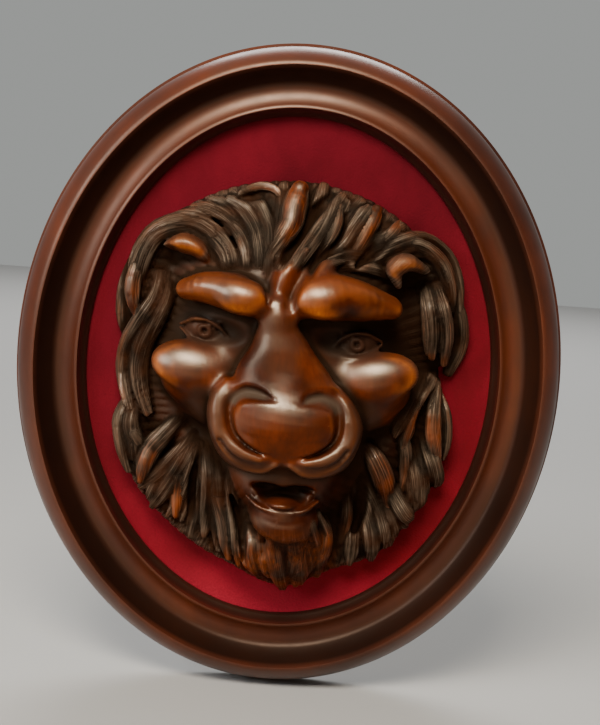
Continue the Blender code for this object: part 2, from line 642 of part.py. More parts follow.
def ear_flaps(mane):
    """Hair that runs over each ear and down beside the face."""
    mane.fan([[(-40, 49), (-43, 59), (-54, 65), (-67, 61), (-73, 50), (-75, 37)],
              [(-31, 49), (-36, 63), (-52, 72), (-70, 67), (-80, 54), (-83, 36)]], 4, 8, lift=(1.2, 3.0),
             tip=0.5)
    mane.lock([(-74, 55), (-78, 44), (-79, 33), (-76, 20)], 9, lift=5, full=0.6, tip=0.25)
    mane.lock([(-81, 50), (-84, 36), (-84, 22), (-82, 8)], 9.5, lift=2.5, full=0.6, tip=0.3)
    mane.fan([[(37, 50), (44, 63), (57, 66.5), (68, 60), (74, 49), (76, 36)],
              [(34, 53), (43, 67), (59, 72), (73, 65), (80, 52), (83, 37)]], 4, 8, lift=(1.2, 3.0),
             tip=0.5)
    mane.fan([[(62, 49), (64, 40), (66, 28), (68, 13)],
              [(69, 51), (73, 40), (77, 27), (79, 10)]], 4, 8, lift=(3.4, 5.2), full=0.7, tip=0.55)
    mane.lock([(78, 46), (82.5, 33), (84, 20), (80, 6)], 9.5, lift=3, full=0.6, tip=0.65)


def side_locks(mane):
    mane.fan([[(-60, 43), (-61, 31), (-65, 20), (-70, 8), (-72, -4), (-70, -16), (-65, -28)],
              [(-66, 43), (-68, 31), (-74, 20), (-80, 8), (-82, -4), (-80, -16), (-75, -29)]], 3, 9,
              lift=(3, 5),
             tip=0.35, root=0.5)
    mane.fan([[(-72, -18), (-74, -32), (-70, -42), (-69, -52)],
              [(-76, -16), (-81, -30), (-79, -43), (-75, -57)]], 3, 8, lift=(0.5, 2), tip=0.4)
    mane.parting([(-49, -34), (-57, -46), (-61, -57), (-63, -65)], 4, 3)
    mane.lock([(-50, -26), (-57, -35), (-63, -42.5), (-66, -50), (-68, -60)], 12, lift=4.2, full=0.6,
              tip=0.35)
    mane.lock([(-76, -33), (-71.5, -39), (-67, -45)], 5, lift=3.4, full=0.5, tip=0.4)
    mane.fan([[(66, 3), (59, -12), (53, -28)],
              [(73, 2), (67, -12), (61, -30)]], 3, 7, lift=(1.6, 3.4), tip=0.3)
    mane.lock([(71, 4), (65, -10), (62, -21), (60, -34)], 6, lift=4.4, full=0.6, tip=0.3)
    mane.lock([(56, -20), (61, -31), (63, -44), (62, -54)], 8, lift=3.4, full=0.6, tip=0.35)
    mane.fan([[(64, -32), (66, -46), (68, -58), (69, -66)],
              [(70, -26), (75, -38), (78, -47), (79, -52)]], 3, 8.5, lift=(0.8, 2.6), tip=0.4)
    mane.lock([(74, 0), (73.5, -13), (74.5, -25), (78, -38)], 9, lift=3.6, full=0.6, tip=0.4)
    mane.lock([(77, -6), (80, -15), (81.5, -26), (81, -37)], 7, lift=1.2, tip=0.4)


def beard(mane):
    mane.fan([[(-43, -34), (-52, -46), (-61, -55), (-71, -62)],
              [(-42, -37), (-48, -50), (-54, -62), (-61, -74)],
              [(-40, -38), (-41, -54), (-44, -68), (-49, -83)],
              [(-36, -38), (-33, -56), (-32, -74), (-32, -93)],
              [(-24, -50), (-21, -64), (-18, -80), (-15, -99)]], 10, 10, lift=(-0.4, 3.0), tip=0.35,
              root=0.4)
    mane.fan([[(33, -60), (37, -72), (37, -82), (36, -95)],
              [(37, -52), (44, -66), (48, -78), (50, -92)],
              [(42, -46), (52, -62), (57, -73), (60, -84)],
              [(50, -44), (58, -57), (64, -65), (70, -69)]], 7, 10, lift=(-0.4, 3.0), tip=0.35)
    mane.fan([[(-14, -77), (-13, -88), (-8, -102)],
              [(-4, -77), (-1, -90), (4, -107)],
              [(6, -78), (9, -94), (12, -111)],
              [(14, -76), (18, -90), (18, -104)],
              [(20, -66), (26, -82), (28, -98)]], 7, 10, lift=(0.3, 1.7), tip=0.45)
    mane.parting([(39, -30), (42, -48), (42, -63), (40, -77)], 6, 3)
    mane.lock([(-44, -44), (-48, -54), (-49.5, -64), (-49, -76)], 9.5, lift=3.6, root=0.4, full=0.6, tip=0.4)
    mane.lock([(-39, -38), (-33, -51), (-27, -67), (-22.5, -81), (-21, -94)], 11.5, lift=3.8, root=0.3,
              full=0.75, tip=0.4)
    mane.lock([(-57, -56), (-61, -62), (-64, -70)], 6, lift=2, full=0.5, tip=0.3)
    mane.lock([(40, -30), (47, -39), (52.5, -50), (57, -64)], 12.5, lift=4, root=0.4, full=0.55, tip=0.4)
    mane.lock([(11, -83), (12, -91), (11, -100)], 9, lift=1.8, full=0.6, tip=0.4)
    mane.lock([(-3, -84), (-2, -92), (0, -101)], 8, lift=1.6, full=0.6, tip=0.4)
    mane.lock([(24, -69), (25.5, -80), (24, -94)], 9.5, lift=2.8, full=0.6, tip=0.45)
    mane.lock([(34, -57), (35.5, -69), (34, -83)], 7.5, lift=2.6, full=0.6, tip=0.4)


def thinned(mesh, triangles):
    """A mesh brought down to a number of triangles, with its back set flat again."""
    holder = bpy.data.objects.new("carving_rough", mesh)
    bpy.context.scene.collection.objects.link(holder)
    thin = holder.modifiers.new("thin", "DECIMATE")
    thin.ratio = triangles / len(mesh.polygons)
    bpy.context.view_layer.update()
    ready = holder.evaluated_get(bpy.context.evaluated_depsgraph_get())
    made = bpy.data.meshes.new_from_object(ready)
    bpy.data.objects.remove(holder)
    bpy.data.meshes.remove(mesh)
    for vertex in made.vertices:
        if vertex.co.y > -BACK_SNAP:
            vertex.co.y = 0.0
    return made


def build_head():
    """The carved head: worked out on the grid, cut flat behind, then thinned to fewer faces."""
    head = Carving(CARVING_LOW, CARVING_HIGH, GRID_STEP)
    masses(head)
    nose_bridge(head)
    brows_and_cheeks(head)
    eyes(head)
    glabella(head)
    nose(head)
    mouth(head)
    mane = Mane(head)
    ears(head)
    crown(mane)
    ear_flaps(mane)
    side_locks(mane)
    beard(mane)
    head.cut_back(BACK_LEVEL)
    head.make_whole()
    head.untangle()
    head.make_whole()
    points, faces = head.surface()
    scale = HEAD_HEIGHT / CARVING_UNITS
    near_back = points[:, 2] < BACK_LEVEL + SNAP_SHARE * GRID_STEP
    points[near_back, 2] = BACK_LEVEL
    placed = np.column_stack([points[:, 0], BACK_LEVEL - points[:, 2], points[:, 1]]) * scale
    rough = bpy.data.meshes.new("carving_rough")
    rough.from_pydata(placed.tolist(), [], faces.tolist())
    bm = bmesh.new()
    bm.from_mesh(rough)
    bmesh.ops.recalc_face_normals(bm, faces=bm.faces)
    bmesh.ops.triangulate(bm, faces=bm.faces)
    bm.to_mesh(rough)
    bm.free()
    mesh = thinned(rough, HEAD_TRIANGLES)
    mesh.name = "lion_head"
    made = add_object("lion_head", mesh, finish("carved_wood", (0.16, 0.07, 0.035), 0.42))
    made.location = (0.0, -REBATE_DEPTH, 0.0)
    made.rotation_euler = (0.0, -HEAD_TURN, 0.0)


def main():
    clear_scene()
    build_frame()
    build_backing()
    build_head()


main()
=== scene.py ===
"""Looks of the oval plaque: the carved head in full detail, its velvet, its moulding and their finishes.

The frame of reference is the part's own: the wall is the plane y = 0, the viewer looks along +Y.
"""

import math

import bmesh
import bpy
import numpy as np
from mathutils import Matrix, Vector


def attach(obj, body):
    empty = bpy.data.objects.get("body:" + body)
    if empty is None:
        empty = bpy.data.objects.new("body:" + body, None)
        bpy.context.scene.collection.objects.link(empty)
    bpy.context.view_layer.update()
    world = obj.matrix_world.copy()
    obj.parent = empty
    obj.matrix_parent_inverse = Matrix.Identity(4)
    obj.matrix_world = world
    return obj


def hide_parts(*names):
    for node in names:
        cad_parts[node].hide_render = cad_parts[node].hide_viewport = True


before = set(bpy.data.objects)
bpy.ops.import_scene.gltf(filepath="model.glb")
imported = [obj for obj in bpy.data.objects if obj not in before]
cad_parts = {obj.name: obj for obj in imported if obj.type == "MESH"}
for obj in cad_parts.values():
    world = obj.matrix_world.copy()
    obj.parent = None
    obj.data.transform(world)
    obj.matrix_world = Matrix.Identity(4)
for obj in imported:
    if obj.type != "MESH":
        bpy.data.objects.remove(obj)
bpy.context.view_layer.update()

# Sizes that the part gives, in metres
FRAME_WIDTH = 0.275
FRAME_HEIGHT = 0.323
MOULDING_WIDTH = 0.036
MOULDING_DEPTH = 0.026
ARRIS_INSET = 0.0115
LIP_INSET = 0.0315
LIP_HEIGHT = 0.017
COVE_HEIGHT = 0.0135
SIGHT_EDGE = 0.0015
BEAD_INSET = 0.0025
BEAD_HEIGHT = 0.0065
COVE_INSET = 0.0211
ARRIS_FLAT = 0.0008
OGEE_BOW = 0.0035
COVE_BOW = 0.0012
SIGHT_BOW = 0.0009
REBATE_WIDTH = 0.006
BOARD_THICKNESS = 0.006
VELVET_THICKNESS = 0.0016
VELVET_EDGE = 0.0003
HEAD_HEIGHT = 0.205
HEAD_TURN = math.radians(-1.0)
CLEARANCE = 0.0003
REBATE_DEPTH = BOARD_THICKNESS + VELVET_THICKNESS + 2 * CLEARANCE

# The carving's own units, as in the part
CARVING_UNITS = 205.0
BACK_LEVEL = 8.2
MIDLINE_HEIGHTS = (-110.0, -60.0, -20.0, 8.0, 60.0)
MIDLINE_PLACES = (11.0, 3.2, 1.0, -3.7, -8.2)
FAR_OUT = 40.0
CORNERS = [(i, j, k) for i in (0, 1) for j in (0, 1) for k in (0, 1)]

# Ovals of the carving: middle, half axes, and the shares of them between which each one fades
OVALS = {
    "face": ((0, -6), (68, 70), (0.85, 1.1)),
    "brow": ((27, 38.5), (31, 13), (0.95, 1.2)),
    "left ear": ((-45.5, 57.5), (9, 6.5), (0.9, 1.3)),
    "right ear": ((58.5, 58), (9, 6.5), (0.9, 1.3)),
    "beard": ((8, -92), (26, 21), (0.8, 1.3)),
    "scoop": ((18, -9), (10.5, 6), (0.7, 1.15)),
    "lips": ((0, -61), (20, 7.5), (0.9, 1.25)),
    "socket": ((35, 19), (19, 9.5), (0.6, 1.15)),
    "dull bridge": ((-1, 17), (13, 17), (0.6, 1.25)),
    "matt bridge": ((1, 4.5), (17, 11), (0.7, 1.3)),
    "matt flank": ((-17, 4), (12, 22), (0.7, 1.2)),
    "matt ridge": ((3, 47), (9, 11), (0.7, 1.3)),
}
NOSE_MIDDLE = -21
NOSE_HALF = (36, 23)
EAR_WEAR = (("left ear", 0.75), ("right ear", 0.40))

# Colours, as linear light
# The hair's dark colour, also painted as shade into its gaps, and its dust colour, also painted as light
# onto its crests
HAIR = (0.0085, 0.0046, 0.0028)
HAIR_DUST_AND_CREST_LIGHT = (0.076, 0.049, 0.032)
HAIR_BROWN = (0.040, 0.0115, 0.0036)
TIP_DARK = (0.026, 0.0046, 0.0010)
TIP_BRIGHT = (0.140, 0.0250, 0.0015)
STAIN_DARK = (0.020, 0.0034, 0.0009)
STAIN_LIGHT = (0.100, 0.0158, 0.0013)
STAIN_GRAIN = (0.026, 0.0040, 0.0010)
STAIN_DULL = (0.034, 0.0125, 0.0062)
RUBBED_DARK = (0.270, 0.056, 0.0020)
RUBBED_BRIGHT = (0.470, 0.122, 0.0046)
# Painted shade in the hollows
HOLLOW_SHADE = (0.0140, 0.0062, 0.0030)
SCOOP_DUST = (0.050, 0.033, 0.022)
# Dust and painted shade in the eye sockets
SOCKET_DUST_AND_SHADE = (0.022, 0.0135, 0.009)
MOULDING_DARK = (0.036, 0.0085, 0.0042)
MOULDING_LIGHT = (0.083, 0.0185, 0.0068)
MOULDING_STREAK = (0.020, 0.0070, 0.0048)
# Painted shade in the cove
COVE_SHADE = (0.0060, 0.0028, 0.0018)
LIP_STAIN = (0.046, 0.0085, 0.0020)
# Painted shade on the inner wall at the sight edge
SIGHT_SHADE = (0.009, 0.0035, 0.0022)
# Velvet pile: painted shade towards the top left, painted light towards the bottom right and along the
# bottom edge
TOP_PILE_PAINTED_SHADE = ((0.062, 0.0014, 0.0048), (0.104, 0.0027, 0.0084))
LOW_PILE_PAINTED_LIGHT = ((0.130, 0.0036, 0.0076), (0.212, 0.0066, 0.0142))
EDGE_PILE_PAINTED_LIGHT = (0.265, 0.0105, 0.0250)
PILE_SHADE = (0.075, 0.0018, 0.0055)
BOARD_DARK = (0.20, 0.125, 0.065)
BOARD_LIGHT = (0.34, 0.23, 0.13)
BOARD_CLOUD = (0.16, 0.10, 0.055)
FLOOR_GREY = (0.36, 0.355, 0.345)
WORLD_BEHIND_CAMERA = (0.022, 0.021, 0.020)
WORLD_BEHIND_PLAQUE = (0.34, 0.35, 0.34)

# Insets of the moulding between which a darker band comes in, and between which it goes out again: painted
# shade in the cove, a stain along the lip, painted shade at the sight edge
COVE_SHADE_ZONE = (0.0122, 0.0138, 0.0190, 0.0255)
LIP_ZONE = (0.0265, 0.0300, 0.0322, 0.0332)
SIGHT_SHADE_ZONE = (0.0320, 0.0330)

# Fineness
GRID_STEP = 0.9
HEAD_TRIANGLES = 190000
RING_STEPS = 256
LOCK_STEPS = 16
LOCK_SPACING = 7.31
BLUR_REACHES = (2.0, 8.0, 14.0)

# The photograph's view
PHOTO_WIDTH = 600
PHOTO_HEIGHT = 725
PIXELS_PER_METRE = 2000.0
CAMERA_DISTANCE = 0.70
CAMERA_RISE = math.radians(6.0)
CAMERA_ROLL = math.radians(4.2)
CENTRE_IN_PHOTO = (288.0, 370.0)
SENSOR_WIDTH = 36.0
NEAREST = 0.05
FARTHEST = 50.0
FLOOR_HALF = 4.0

# Lamps: name, place, target, width and height, watts, colour
LAMPS = (
    ("key", (-0.15, -0.96, 0.90), (0.0, 0.0, 0.0), (0.60, 0.45), 32.0, (1.0, 0.91, 0.78)),
    ("window", (-1.15, -0.95, 0.60), (0.0, 0.0, 0.0), (0.7, 0.7), 20.0, (0.94, 0.96, 0.98)),
    ("room", (-0.55, -1.90, 0.55), (0.0, 0.0, 0.0), (2.4, 1.3), 0.9, (1.0, 0.94, 0.86)),
    ("bounce", (0.05, -0.95, -0.09), (0.0, 0.0, -0.06), (0.9, 0.10), 1.2, (1.0, 0.62, 0.34)),
    ("ground", (0.0, 2.2, 2.2), (0.0, 1.6, 0.0), (2.0, 2.0), 90.0, (1.0, 1.0, 1.0)),
)


def smooth_min(a, b, blend):
    if blend <= 0:
        return np.minimum(a, b)
    h = np.clip(0.5 + 0.5 * (b - a) / blend, 0.0, 1.0)
    return b * (1 - h) + a * h - blend * h * (1 - h)


def smooth_step(low, high, value):
    t = np.clip((value - low) / (high - low), 0.0, 1.0)
    return t * t * (3 - 2 * t)


def oval(name, u, v):
    """1 inside one of the named ovals, 0 outside it."""
    (middle_u, middle_v), (half_u, half_v), (inner, outer) = OVALS[name]
    return 1.0 - smooth_step(inner, outer, np.hypot((u - middle_u) / half_u, (v - middle_v) / half_v))


def curve(points, count):
    """Points along a smooth curve through a few chosen ones."""
    p = np.array(points, float)
    p = np.vstack([2 * p[0] - p[1], p, 2 * p[-1] - p[-2]])
    spans = len(p) - 3
    made = []
    for k in range(count):
        place = k / (count - 1) * spans
        i = min(int(place), spans - 1)
        t = place - i
        a, b, c, d = p[i:i + 4]
        linear = (c - a) * t
        square = (2 * a - 5 * b + 4 * c - d) * t * t
        cube = (3 * b - 3 * c + d - a) * t ** 3
        made.append(0.5 * (2 * b + linear + square + cube))
    return np.array(made)


def spread(values, count):
    """Values set evenly along a path, read at count places."""
    return np.interp(np.linspace(0, 1, count), np.linspace(0, 1, len(values)), values)


def midline(v):
    """Where the face's middle lies at each height: it leans to the right on its way down."""
    return np.interp(v, MIDLINE_HEIGHTS, MIDLINE_PLACES)


def block(grid, corner, shape):
    """The grid's values at one corner of each of its cells."""
    return grid[tuple(slice(start, start + count) for start, count in zip(corner, shape))]


def bar_field(path, widths, depths, u, v, w):
    """Distance to a bar of oval section along a path, with how far across and along it a point lies."""
    count = len(path)
    shape = np.broadcast_shapes(u.shape, v.shape, w.shape)
    nearest = np.full(shape, np.inf)
    place = np.zeros(shape)
    for i in range(count - 1):
        run = path[i + 1] - path[i]
        du, dv, dw = u - path[i, 0], v - path[i, 1], w - path[i, 2]
        t = np.clip((du * run[0] + dv * run[1] + dw * run[2]) / (run @ run), 0.0, 1.0)
        gap = (du - t * run[0]) ** 2 + (dv - t * run[1]) ** 2 + (dw - t * run[2]) ** 2
        closer = gap < nearest
        nearest = np.where(closer, gap, nearest)
        place = np.where(closer, i + t, place)
    tangents = np.gradient(path, axis=0)
    tangents /= np.linalg.norm(tangents, axis=1, keepdims=True)
    sides = np.cross([0.0, 0.0, 1.0], tangents)
    sides /= np.linalg.norm(sides, axis=1, keepdims=True) + 1e-9
    ups = np.cross(tangents, sides)
    index = np.minimum(place.astype(int), count - 2)
    t = place - index

    def along(rows):
        return rows[index] * (1 - t) + rows[index + 1] * t

    du = u - along(path[:, 0])
    dv = v - along(path[:, 1])
    dw = w - along(path[:, 2])
    half_width = along(widths)
    half_depth = along(depths)
    across = (du * along(sides[:, 0]) + dv * along(sides[:, 1])) / half_width
    out = (du * along(ups[:, 0]) + dv * along(ups[:, 1]) + dw * along(ups[:, 2])) / half_depth
    beyond = du * along(tangents[:, 0]) + dv * along(tangents[:, 1]) + dw * along(tangents[:, 2])
    at_end = (place <= 0.0) | (place >= count - 1)
    half_end = np.minimum(half_width, half_depth)
    beyond = np.where(at_end, beyond / half_end, 0.0)
    level = np.sqrt(across ** 2 + out ** 2 + beyond ** 2)
    slope = np.sqrt((across / half_width) ** 2 + (out / half_depth) ** 2 + (beyond / half_end) ** 2)
    return level * (level - 1.0) / (slope + 1e-9), across, place


class Carving:
    """A solid held as distances to its surface on a regular grid: u right, v up, w out."""

    def __init__(self, low, high, step):
        self.low = np.array(low, float)
        self.step = step
        self.axes = []
        for a, b in zip(low, high):
            count = int(math.ceil((b - a) / step)) + 1
            self.axes.append(a + step * np.arange(count))
        self.value = np.full([len(axis) for axis in self.axes], FAR_OUT)

    def window(self, low, high, margin, leaned):
        """The part of the grid round a box, with its coordinates, along the face's midline if leaned."""
        low = np.array(low, float) - margin
        high = np.array(high, float) + margin
        search_low = low.copy()
        search_high = high.copy()
        if leaned:
            shifts = midline(np.array([low[1], high[1]]))
            search_low[0] += shifts.min()
            search_high[0] += shifts.max()
        cut = []
        for axis, a, b in zip(self.axes, search_low, search_high):
            first, last = np.searchsorted(axis, (a, b))
            cut.append(slice(int(first), int(last)))
        u = self.axes[0][cut[0]][:, None, None]
        v = self.axes[1][cut[1]][None, :, None]
        w = self.axes[2][cut[2]][None, None, :]
        if leaned:
            u = u - midline(v)
        return tuple(cut), u, v, w

    def merge(self, cut, distance, blend, carve):
        here = self.value[cut]
        if carve:
            self.value[cut] = -smooth_min(-here, distance, blend)
        else:
            self.value[cut] = smooth_min(here, distance, blend)

    def ball(self, centre, radii, turn=0.0, tip=0.0, blend=3.0, carve=False, leaned=True):
        """Adds or cuts an ellipsoid, turned in the face's plane and tipped about its width."""
        reach = max(radii)
        low = [c - reach for c in centre]
        high = [c + reach for c in centre]
        cut, u, v, w = self.window(low, high, blend + 1.5 * self.step, leaned)
        a, b = math.radians(turn), math.radians(tip)
        spin = np.array([[math.cos(a), -math.sin(a), 0], [math.sin(a), math.cos(a), 0], [0, 0, 1]])
        nod = np.array([[1, 0, 0], [0, math.cos(b), -math.sin(b)], [0, math.sin(b), math.cos(b)]])
        axes = spin @ nod
        level = 0.0
        slope = 1e-9
        du, dv, dw = u - centre[0], v - centre[1], w - centre[2]
        for i, radius in enumerate(radii):
            along = du * axes[0, i] + dv * axes[1, i] + dw * axes[2, i]
            level = level + (along / radius) ** 2
            slope = slope + (along / radius ** 2) ** 2
        level = np.sqrt(level)
        self.merge(cut, level * (level - 1.0) / np.sqrt(slope), blend, carve)

    def sweep(self, path, widths, depths, blend=0.8, carve=False, leaned=True, strands=0, groove=0.0):
        """Adds or cuts a bar of oval section along a path, grooved along its length if it has strands."""
        path = np.array(path, float)
        widths = spread(widths, len(path))
        depths = spread(depths, len(path))
        reach = max(widths.max(), depths.max())
        cut, u, v, w = self.window(path.min(0) - reach, path.max(0) + reach, blend + 1.5 * self.step, leaned)
        if 0 in np.broadcast_shapes(u.shape, v.shape, w.shape):
            return
        distance, across, place = bar_field(path, widths, depths, u, v, w)
        if strands:
            wave = np.abs(np.sin(0.5 * math.pi * strands * (np.clip(across, -1, 1) + 1.0)))
            distance = distance + groove * (1.0 - wave) ** 2
        self.merge(cut, distance, blend, carve)

    def bar(self, points, count, widths, depths, side=1, **shape):
        """A sweep along a smooth curve through a few points, mirrored if side is -1."""
        self.sweep(curve(np.array(points, float) * (side, 1, 1), count), widths, depths, **shape)

    def cut_back(self, level):
        self.value = np.maximum(self.value, level - self.axes[2][None, None, :])

    def untangle(self):
        """Fills grid points where parts of the surface would meet only along an edge or at a corner."""
        while True:
            inside = self.value < 0
            fill = np.zeros_like(inside)
            for b, c in ((0, 1), (0, 2), (1, 2)):
                here = np.moveaxis(inside, (b, c), (0, 1))
                mark = np.moveaxis(fill, (b, c), (0, 1))
                p, q, r, s = here[:-1, :-1], here[1:, :-1], here[1:, 1:], here[:-1, 1:]
                mark[1:, :-1] |= p & r & ~q & ~s
                mark[:-1, :-1] |= q & s & ~p & ~r
            cells_shape = [n - 1 for n in inside.shape]
            blocks = [block(inside, corner, cells_shape).astype(int) for corner in CORNERS]
            total = sum(blocks)
            for a in range(4):
                pair = blocks[a] + blocks[7 - a]
                lone = ((total == 2) & (pair == 2)) | ((total == 6) & (pair == 0))
                for corner in CORNERS:
                    marked = block(fill, corner, cells_shape)
                    marked |= lone
            fill &= ~inside
            if not fill.any():
                return
            self.value[fill] = -0.1 * self.step

    def front(self):
        """Height of the front surface over every column of the grid."""
        inside = self.value < 0
        last = inside.shape[2] - 1 - np.argmax(inside[:, :, ::-1], axis=2)
        i, j = np.indices(last.shape)
        deep = self.value[i, j, last]
        past = self.value[i, j, np.minimum(last + 1, inside.shape[2] - 1)]
        part = np.clip(-deep / np.maximum(past - deep, 1e-6), 0.0, 1.0)
        return np.where(inside.any(axis=2), self.axes[2][last] + part * self.step, BACK_LEVEL)

    def surface(self):
        """Points and four-sided faces of the surface: one point in each grid cell that it crosses."""
        inside = self.value < 0
        cells_shape = [n - 1 for n in inside.shape]
        total = sum(block(inside, corner, cells_shape).astype(int) for corner in CORNERS)
        crossed = (total > 0) & (total < 8)
        cells = np.argwhere(crossed)
        number = np.full(cells_shape, -1)
        number[crossed] = np.arange(len(cells))
        values = [self.value[cells[:, 0] + i, cells[:, 1] + j, cells[:, 2] + k] for i, j, k in CORNERS]
        summed = np.zeros((len(cells), 3))
        hits = np.zeros((len(cells), 1))
        for a in range(8):
            for b in range(a + 1, 8):
                step = np.subtract(CORNERS[b], CORNERS[a])
                if abs(step).sum() != 1:
                    continue
                va, vb = values[a], values[b]
                cross = (va < 0) != (vb < 0)
                t = np.where(cross, va / np.where(cross, va - vb, 1.0), 0.0)[:, None]
                summed += np.where(cross[:, None], CORNERS[a] + t * step, 0.0)
                hits += cross[:, None]
        points = (cells + summed / hits) * self.step + self.low
        faces = []
        for axis in range(3):
            first = np.delete(inside, -1, axis)
            second = np.delete(inside, 0, axis)
            edges = np.argwhere(first != second)
            others = [k for k in range(3) if k != axis]
            ring = []
            for back_b, back_c in ((0, 0), (1, 0), (1, 1), (0, 1)):
                cell = edges.copy()
                cell[:, others[0]] -= back_b
                cell[:, others[1]] -= back_c
                ring.append(number[tuple(cell.T)])
            quad = np.stack(ring, 1)
            leaving = first[tuple(edges.T)]
            if axis == 1:
                leaving = ~leaving
            quad[~leaving] = quad[~leaving][:, ::-1]
            faces.append(quad)
        return points, np.concatenate(faces)


def read_map(heights, low, step, u, v):
    """Values of a map over the grid's columns at any places, with straight lines between columns."""
    a = np.clip((u - low[0]) / step, 0, heights.shape[0] - 1.001)
    b = np.clip((v - low[1]) / step, 0, heights.shape[1] - 1.001)
    i, j = a.astype(int), b.astype(int)
    a, b = a - i, b - j
    near = heights[i, j] * (1 - b) + heights[i, j + 1] * b
    far = heights[i + 1, j] * (1 - b) + heights[i + 1, j + 1] * b
    return near * (1 - a) + far * a


def blurred(heights, radius):
    """A map smoothed by three passes of a running mean."""
    reach = max(1, int(round(radius)))
    width = 2 * reach + 1
    made = heights
    for _ in range(3):
        for axis in (0, 1):
            moved = np.moveaxis(made, axis, 0)
            padded = np.pad(moved, ((reach + 1, reach), (0, 0)), mode="edge")
            total = np.cumsum(padded, axis=0)
            made = np.moveaxis((total[width:] - total[:-width]) / width, 0, axis)
    return made


class Mane:
    """Lays locks over the head, each following the surface that it lies on."""

    def __init__(self, carving):
        self.carving = carving
        self.heights = carving.front()
        self.locks = []

    def ground(self, uv):
        return read_map(self.heights, self.carving.low, self.carving.step, uv[:, 0], uv[:, 1])

    def lock(self, points, width, lift=1.0, tip=0.4, root=0.6, full=0.6, strands=2, groove=0.6,
             thick=0.85, polish=0.0):
        """One lock along chosen points: slim at its root, widest at the share full, drawn in at its tip."""
        uv = curve(points, LOCK_STEPS)
        t = np.linspace(0, 1, LOCK_STEPS)
        under = self.ground(uv)
        under = np.convolve(np.pad(under, 2, mode="edge"), np.ones(5) / 5, mode="valid")
        swell = root + (1 - root) * np.sin(0.5 * math.pi * np.clip(t / full, 0, 1))
        fading = max(0.6, full)
        fade = 1 - (1 - tip) * np.clip((t - fading) / (1 - fading), 0, 1) ** 2
        half = 0.5 * width * swell * fade
        deep = half * thick
        risen = np.clip(t / (0.65 * full), 0, 1)
        w = under + (lift + 0.65 * deep) * risen - deep + 1.5 * np.sin(math.pi * t)
        w = np.maximum(w, BACK_LEVEL + 0.75 * deep)
        path = np.column_stack([uv, w])
        self.carving.sweep(path, half, deep, blend=0.5, leaned=False, strands=strands, groove=groove)
        self.locks.append((path, half, deep, polish))

    def bold(self, points, width, **shape):
        """A smooth, rounded lock that stands out from the fine hair."""
        self.lock(points, width, strands=1, groove=0.5, thick=1.0, **shape)

    def fan(self, guides, count, width, lift, tip=0.35, full=0.45, **shape):
        """Locks spread between guide curves of equally many points, each a little off the even spacing."""
        guides = np.array(guides, float)
        stops = np.linspace(0, 1, len(guides))
        for k in range(count):
            t = min(max((k + 0.3 * math.sin(5.1 * k)) / (count - 1), 0.0), 1.0)
            points = []
            for i in range(guides.shape[1]):
                points.append([np.interp(t, stops, guides[:, i, j]) for j in (0, 1)])
            points = np.array(points)
            points[-1] += (0.17 + 0.17 * math.sin(3.7 * k)) * (points[-2] - points[-1])
            points[1:-1, 0] += 0.7 * math.sin(2.9 * k)
            raised = lift[k % 2] + 0.9 * math.sin(4.3 * k)
            self.lock(points, width * (1.0 + 0.36 * math.sin(2.4 * k)), lift=raised, tip=tip,
                      full=full, **shape)

    def parting(self, points, width, depth):
        """A dark furrow between locks, cut into the surface that they lie on and shallow at its ends."""
        uv = curve(points, LOCK_STEPS)
        under = self.ground(uv)
        under = np.maximum(under, BACK_LEVEL + depth + 2.5)
        path = np.column_stack([uv, under + 5.0])
        widths = width * np.array([0.3, 0.6, 0.65, 0.6, 0.3])
        depths = [3.5, 4.2 + 0.5 * depth, 4.5 + 0.6 * depth, 4.2 + 0.5 * depth, 3.0]
        self.carving.sweep(path, widths, depths, blend=2.2, carve=True, leaned=False)


def masses(head):
    """The broad forms that everything else lies on."""
    head.ball((-1, -3, 3), (77, 91, 33), blend=0, leaned=False)
    head.ball((-1, 52, 6), (65, 40, 30), blend=8, leaned=False)
    for side in (-1, 1):
        head.ball((side * 66, 36, 8), (18, 30, 18), turn=side * 8, blend=4, leaned=False)
        head.ball((side * 24, -8, 32), (16, 24, 18), blend=8)
    head.ball((0, 14, 8), (56, 56, 43), blend=7)
    head.ball((0, 43, 16), (55, 25, 34), blend=6)
    head.ball((0, -44, 10), (33, 36, 44), blend=7)
    head.ball((4, -80, 14), (30, 26, 26), blend=7, leaned=False)
    head.bar([(-70, 54, 15), (-52, 69, 15), (-28, 80, 14), (0, 84, 14), (24, 80, 14), (44, 71, 15),
              (64, 57, 15)], 24, [9, 9.5, 9.5, 9], [12, 12], blend=6, leaned=False)
    head.bar([(-75, -28, 13), (-72, -46, 13), (-63, -62, 13), (-47, -77, 13), (-30, -88, 13),
              (-12, -95, 13), (6, -101, 13), (24, -93, 13), (44, -85, 13), (56, -74, 13), (67, -56, 13),
              (75, -34, 13), (74, -16, 13), (70, -2, 13)], 40, [8, 8, 8, 7], [9, 9], blend=6,
             leaned=False)
    head.ball((-45, -28, 37), (10, 11, 14), turn=20, blend=4, carve=True)
    head.ball((46, -27, 37), (10, 15, 14), turn=-10, blend=4, carve=True)


def nose_bridge(head):
    head.bar([(-1, 34, 52.5), (-1, 24, 53.5), (0, 14, 54), (0.5, 5, 54.4), (1, -3, 55.2)], 14,
             [6, 9.5, 15, 21.5, 25], [8.5, 8.8, 9.5, 10.5, 11.5], blend=4)
    head.ball((-1.5, 29.5, 56.8), (7.5, 7, 5.5), tip=-22, blend=4)
    head.ball((0, -20, 53), (35, 22.5, 17), blend=4)
    for side in (-1, 1):
        head.ball((side * 16, -32, 52.5), (16, 12.5, 14), blend=4)


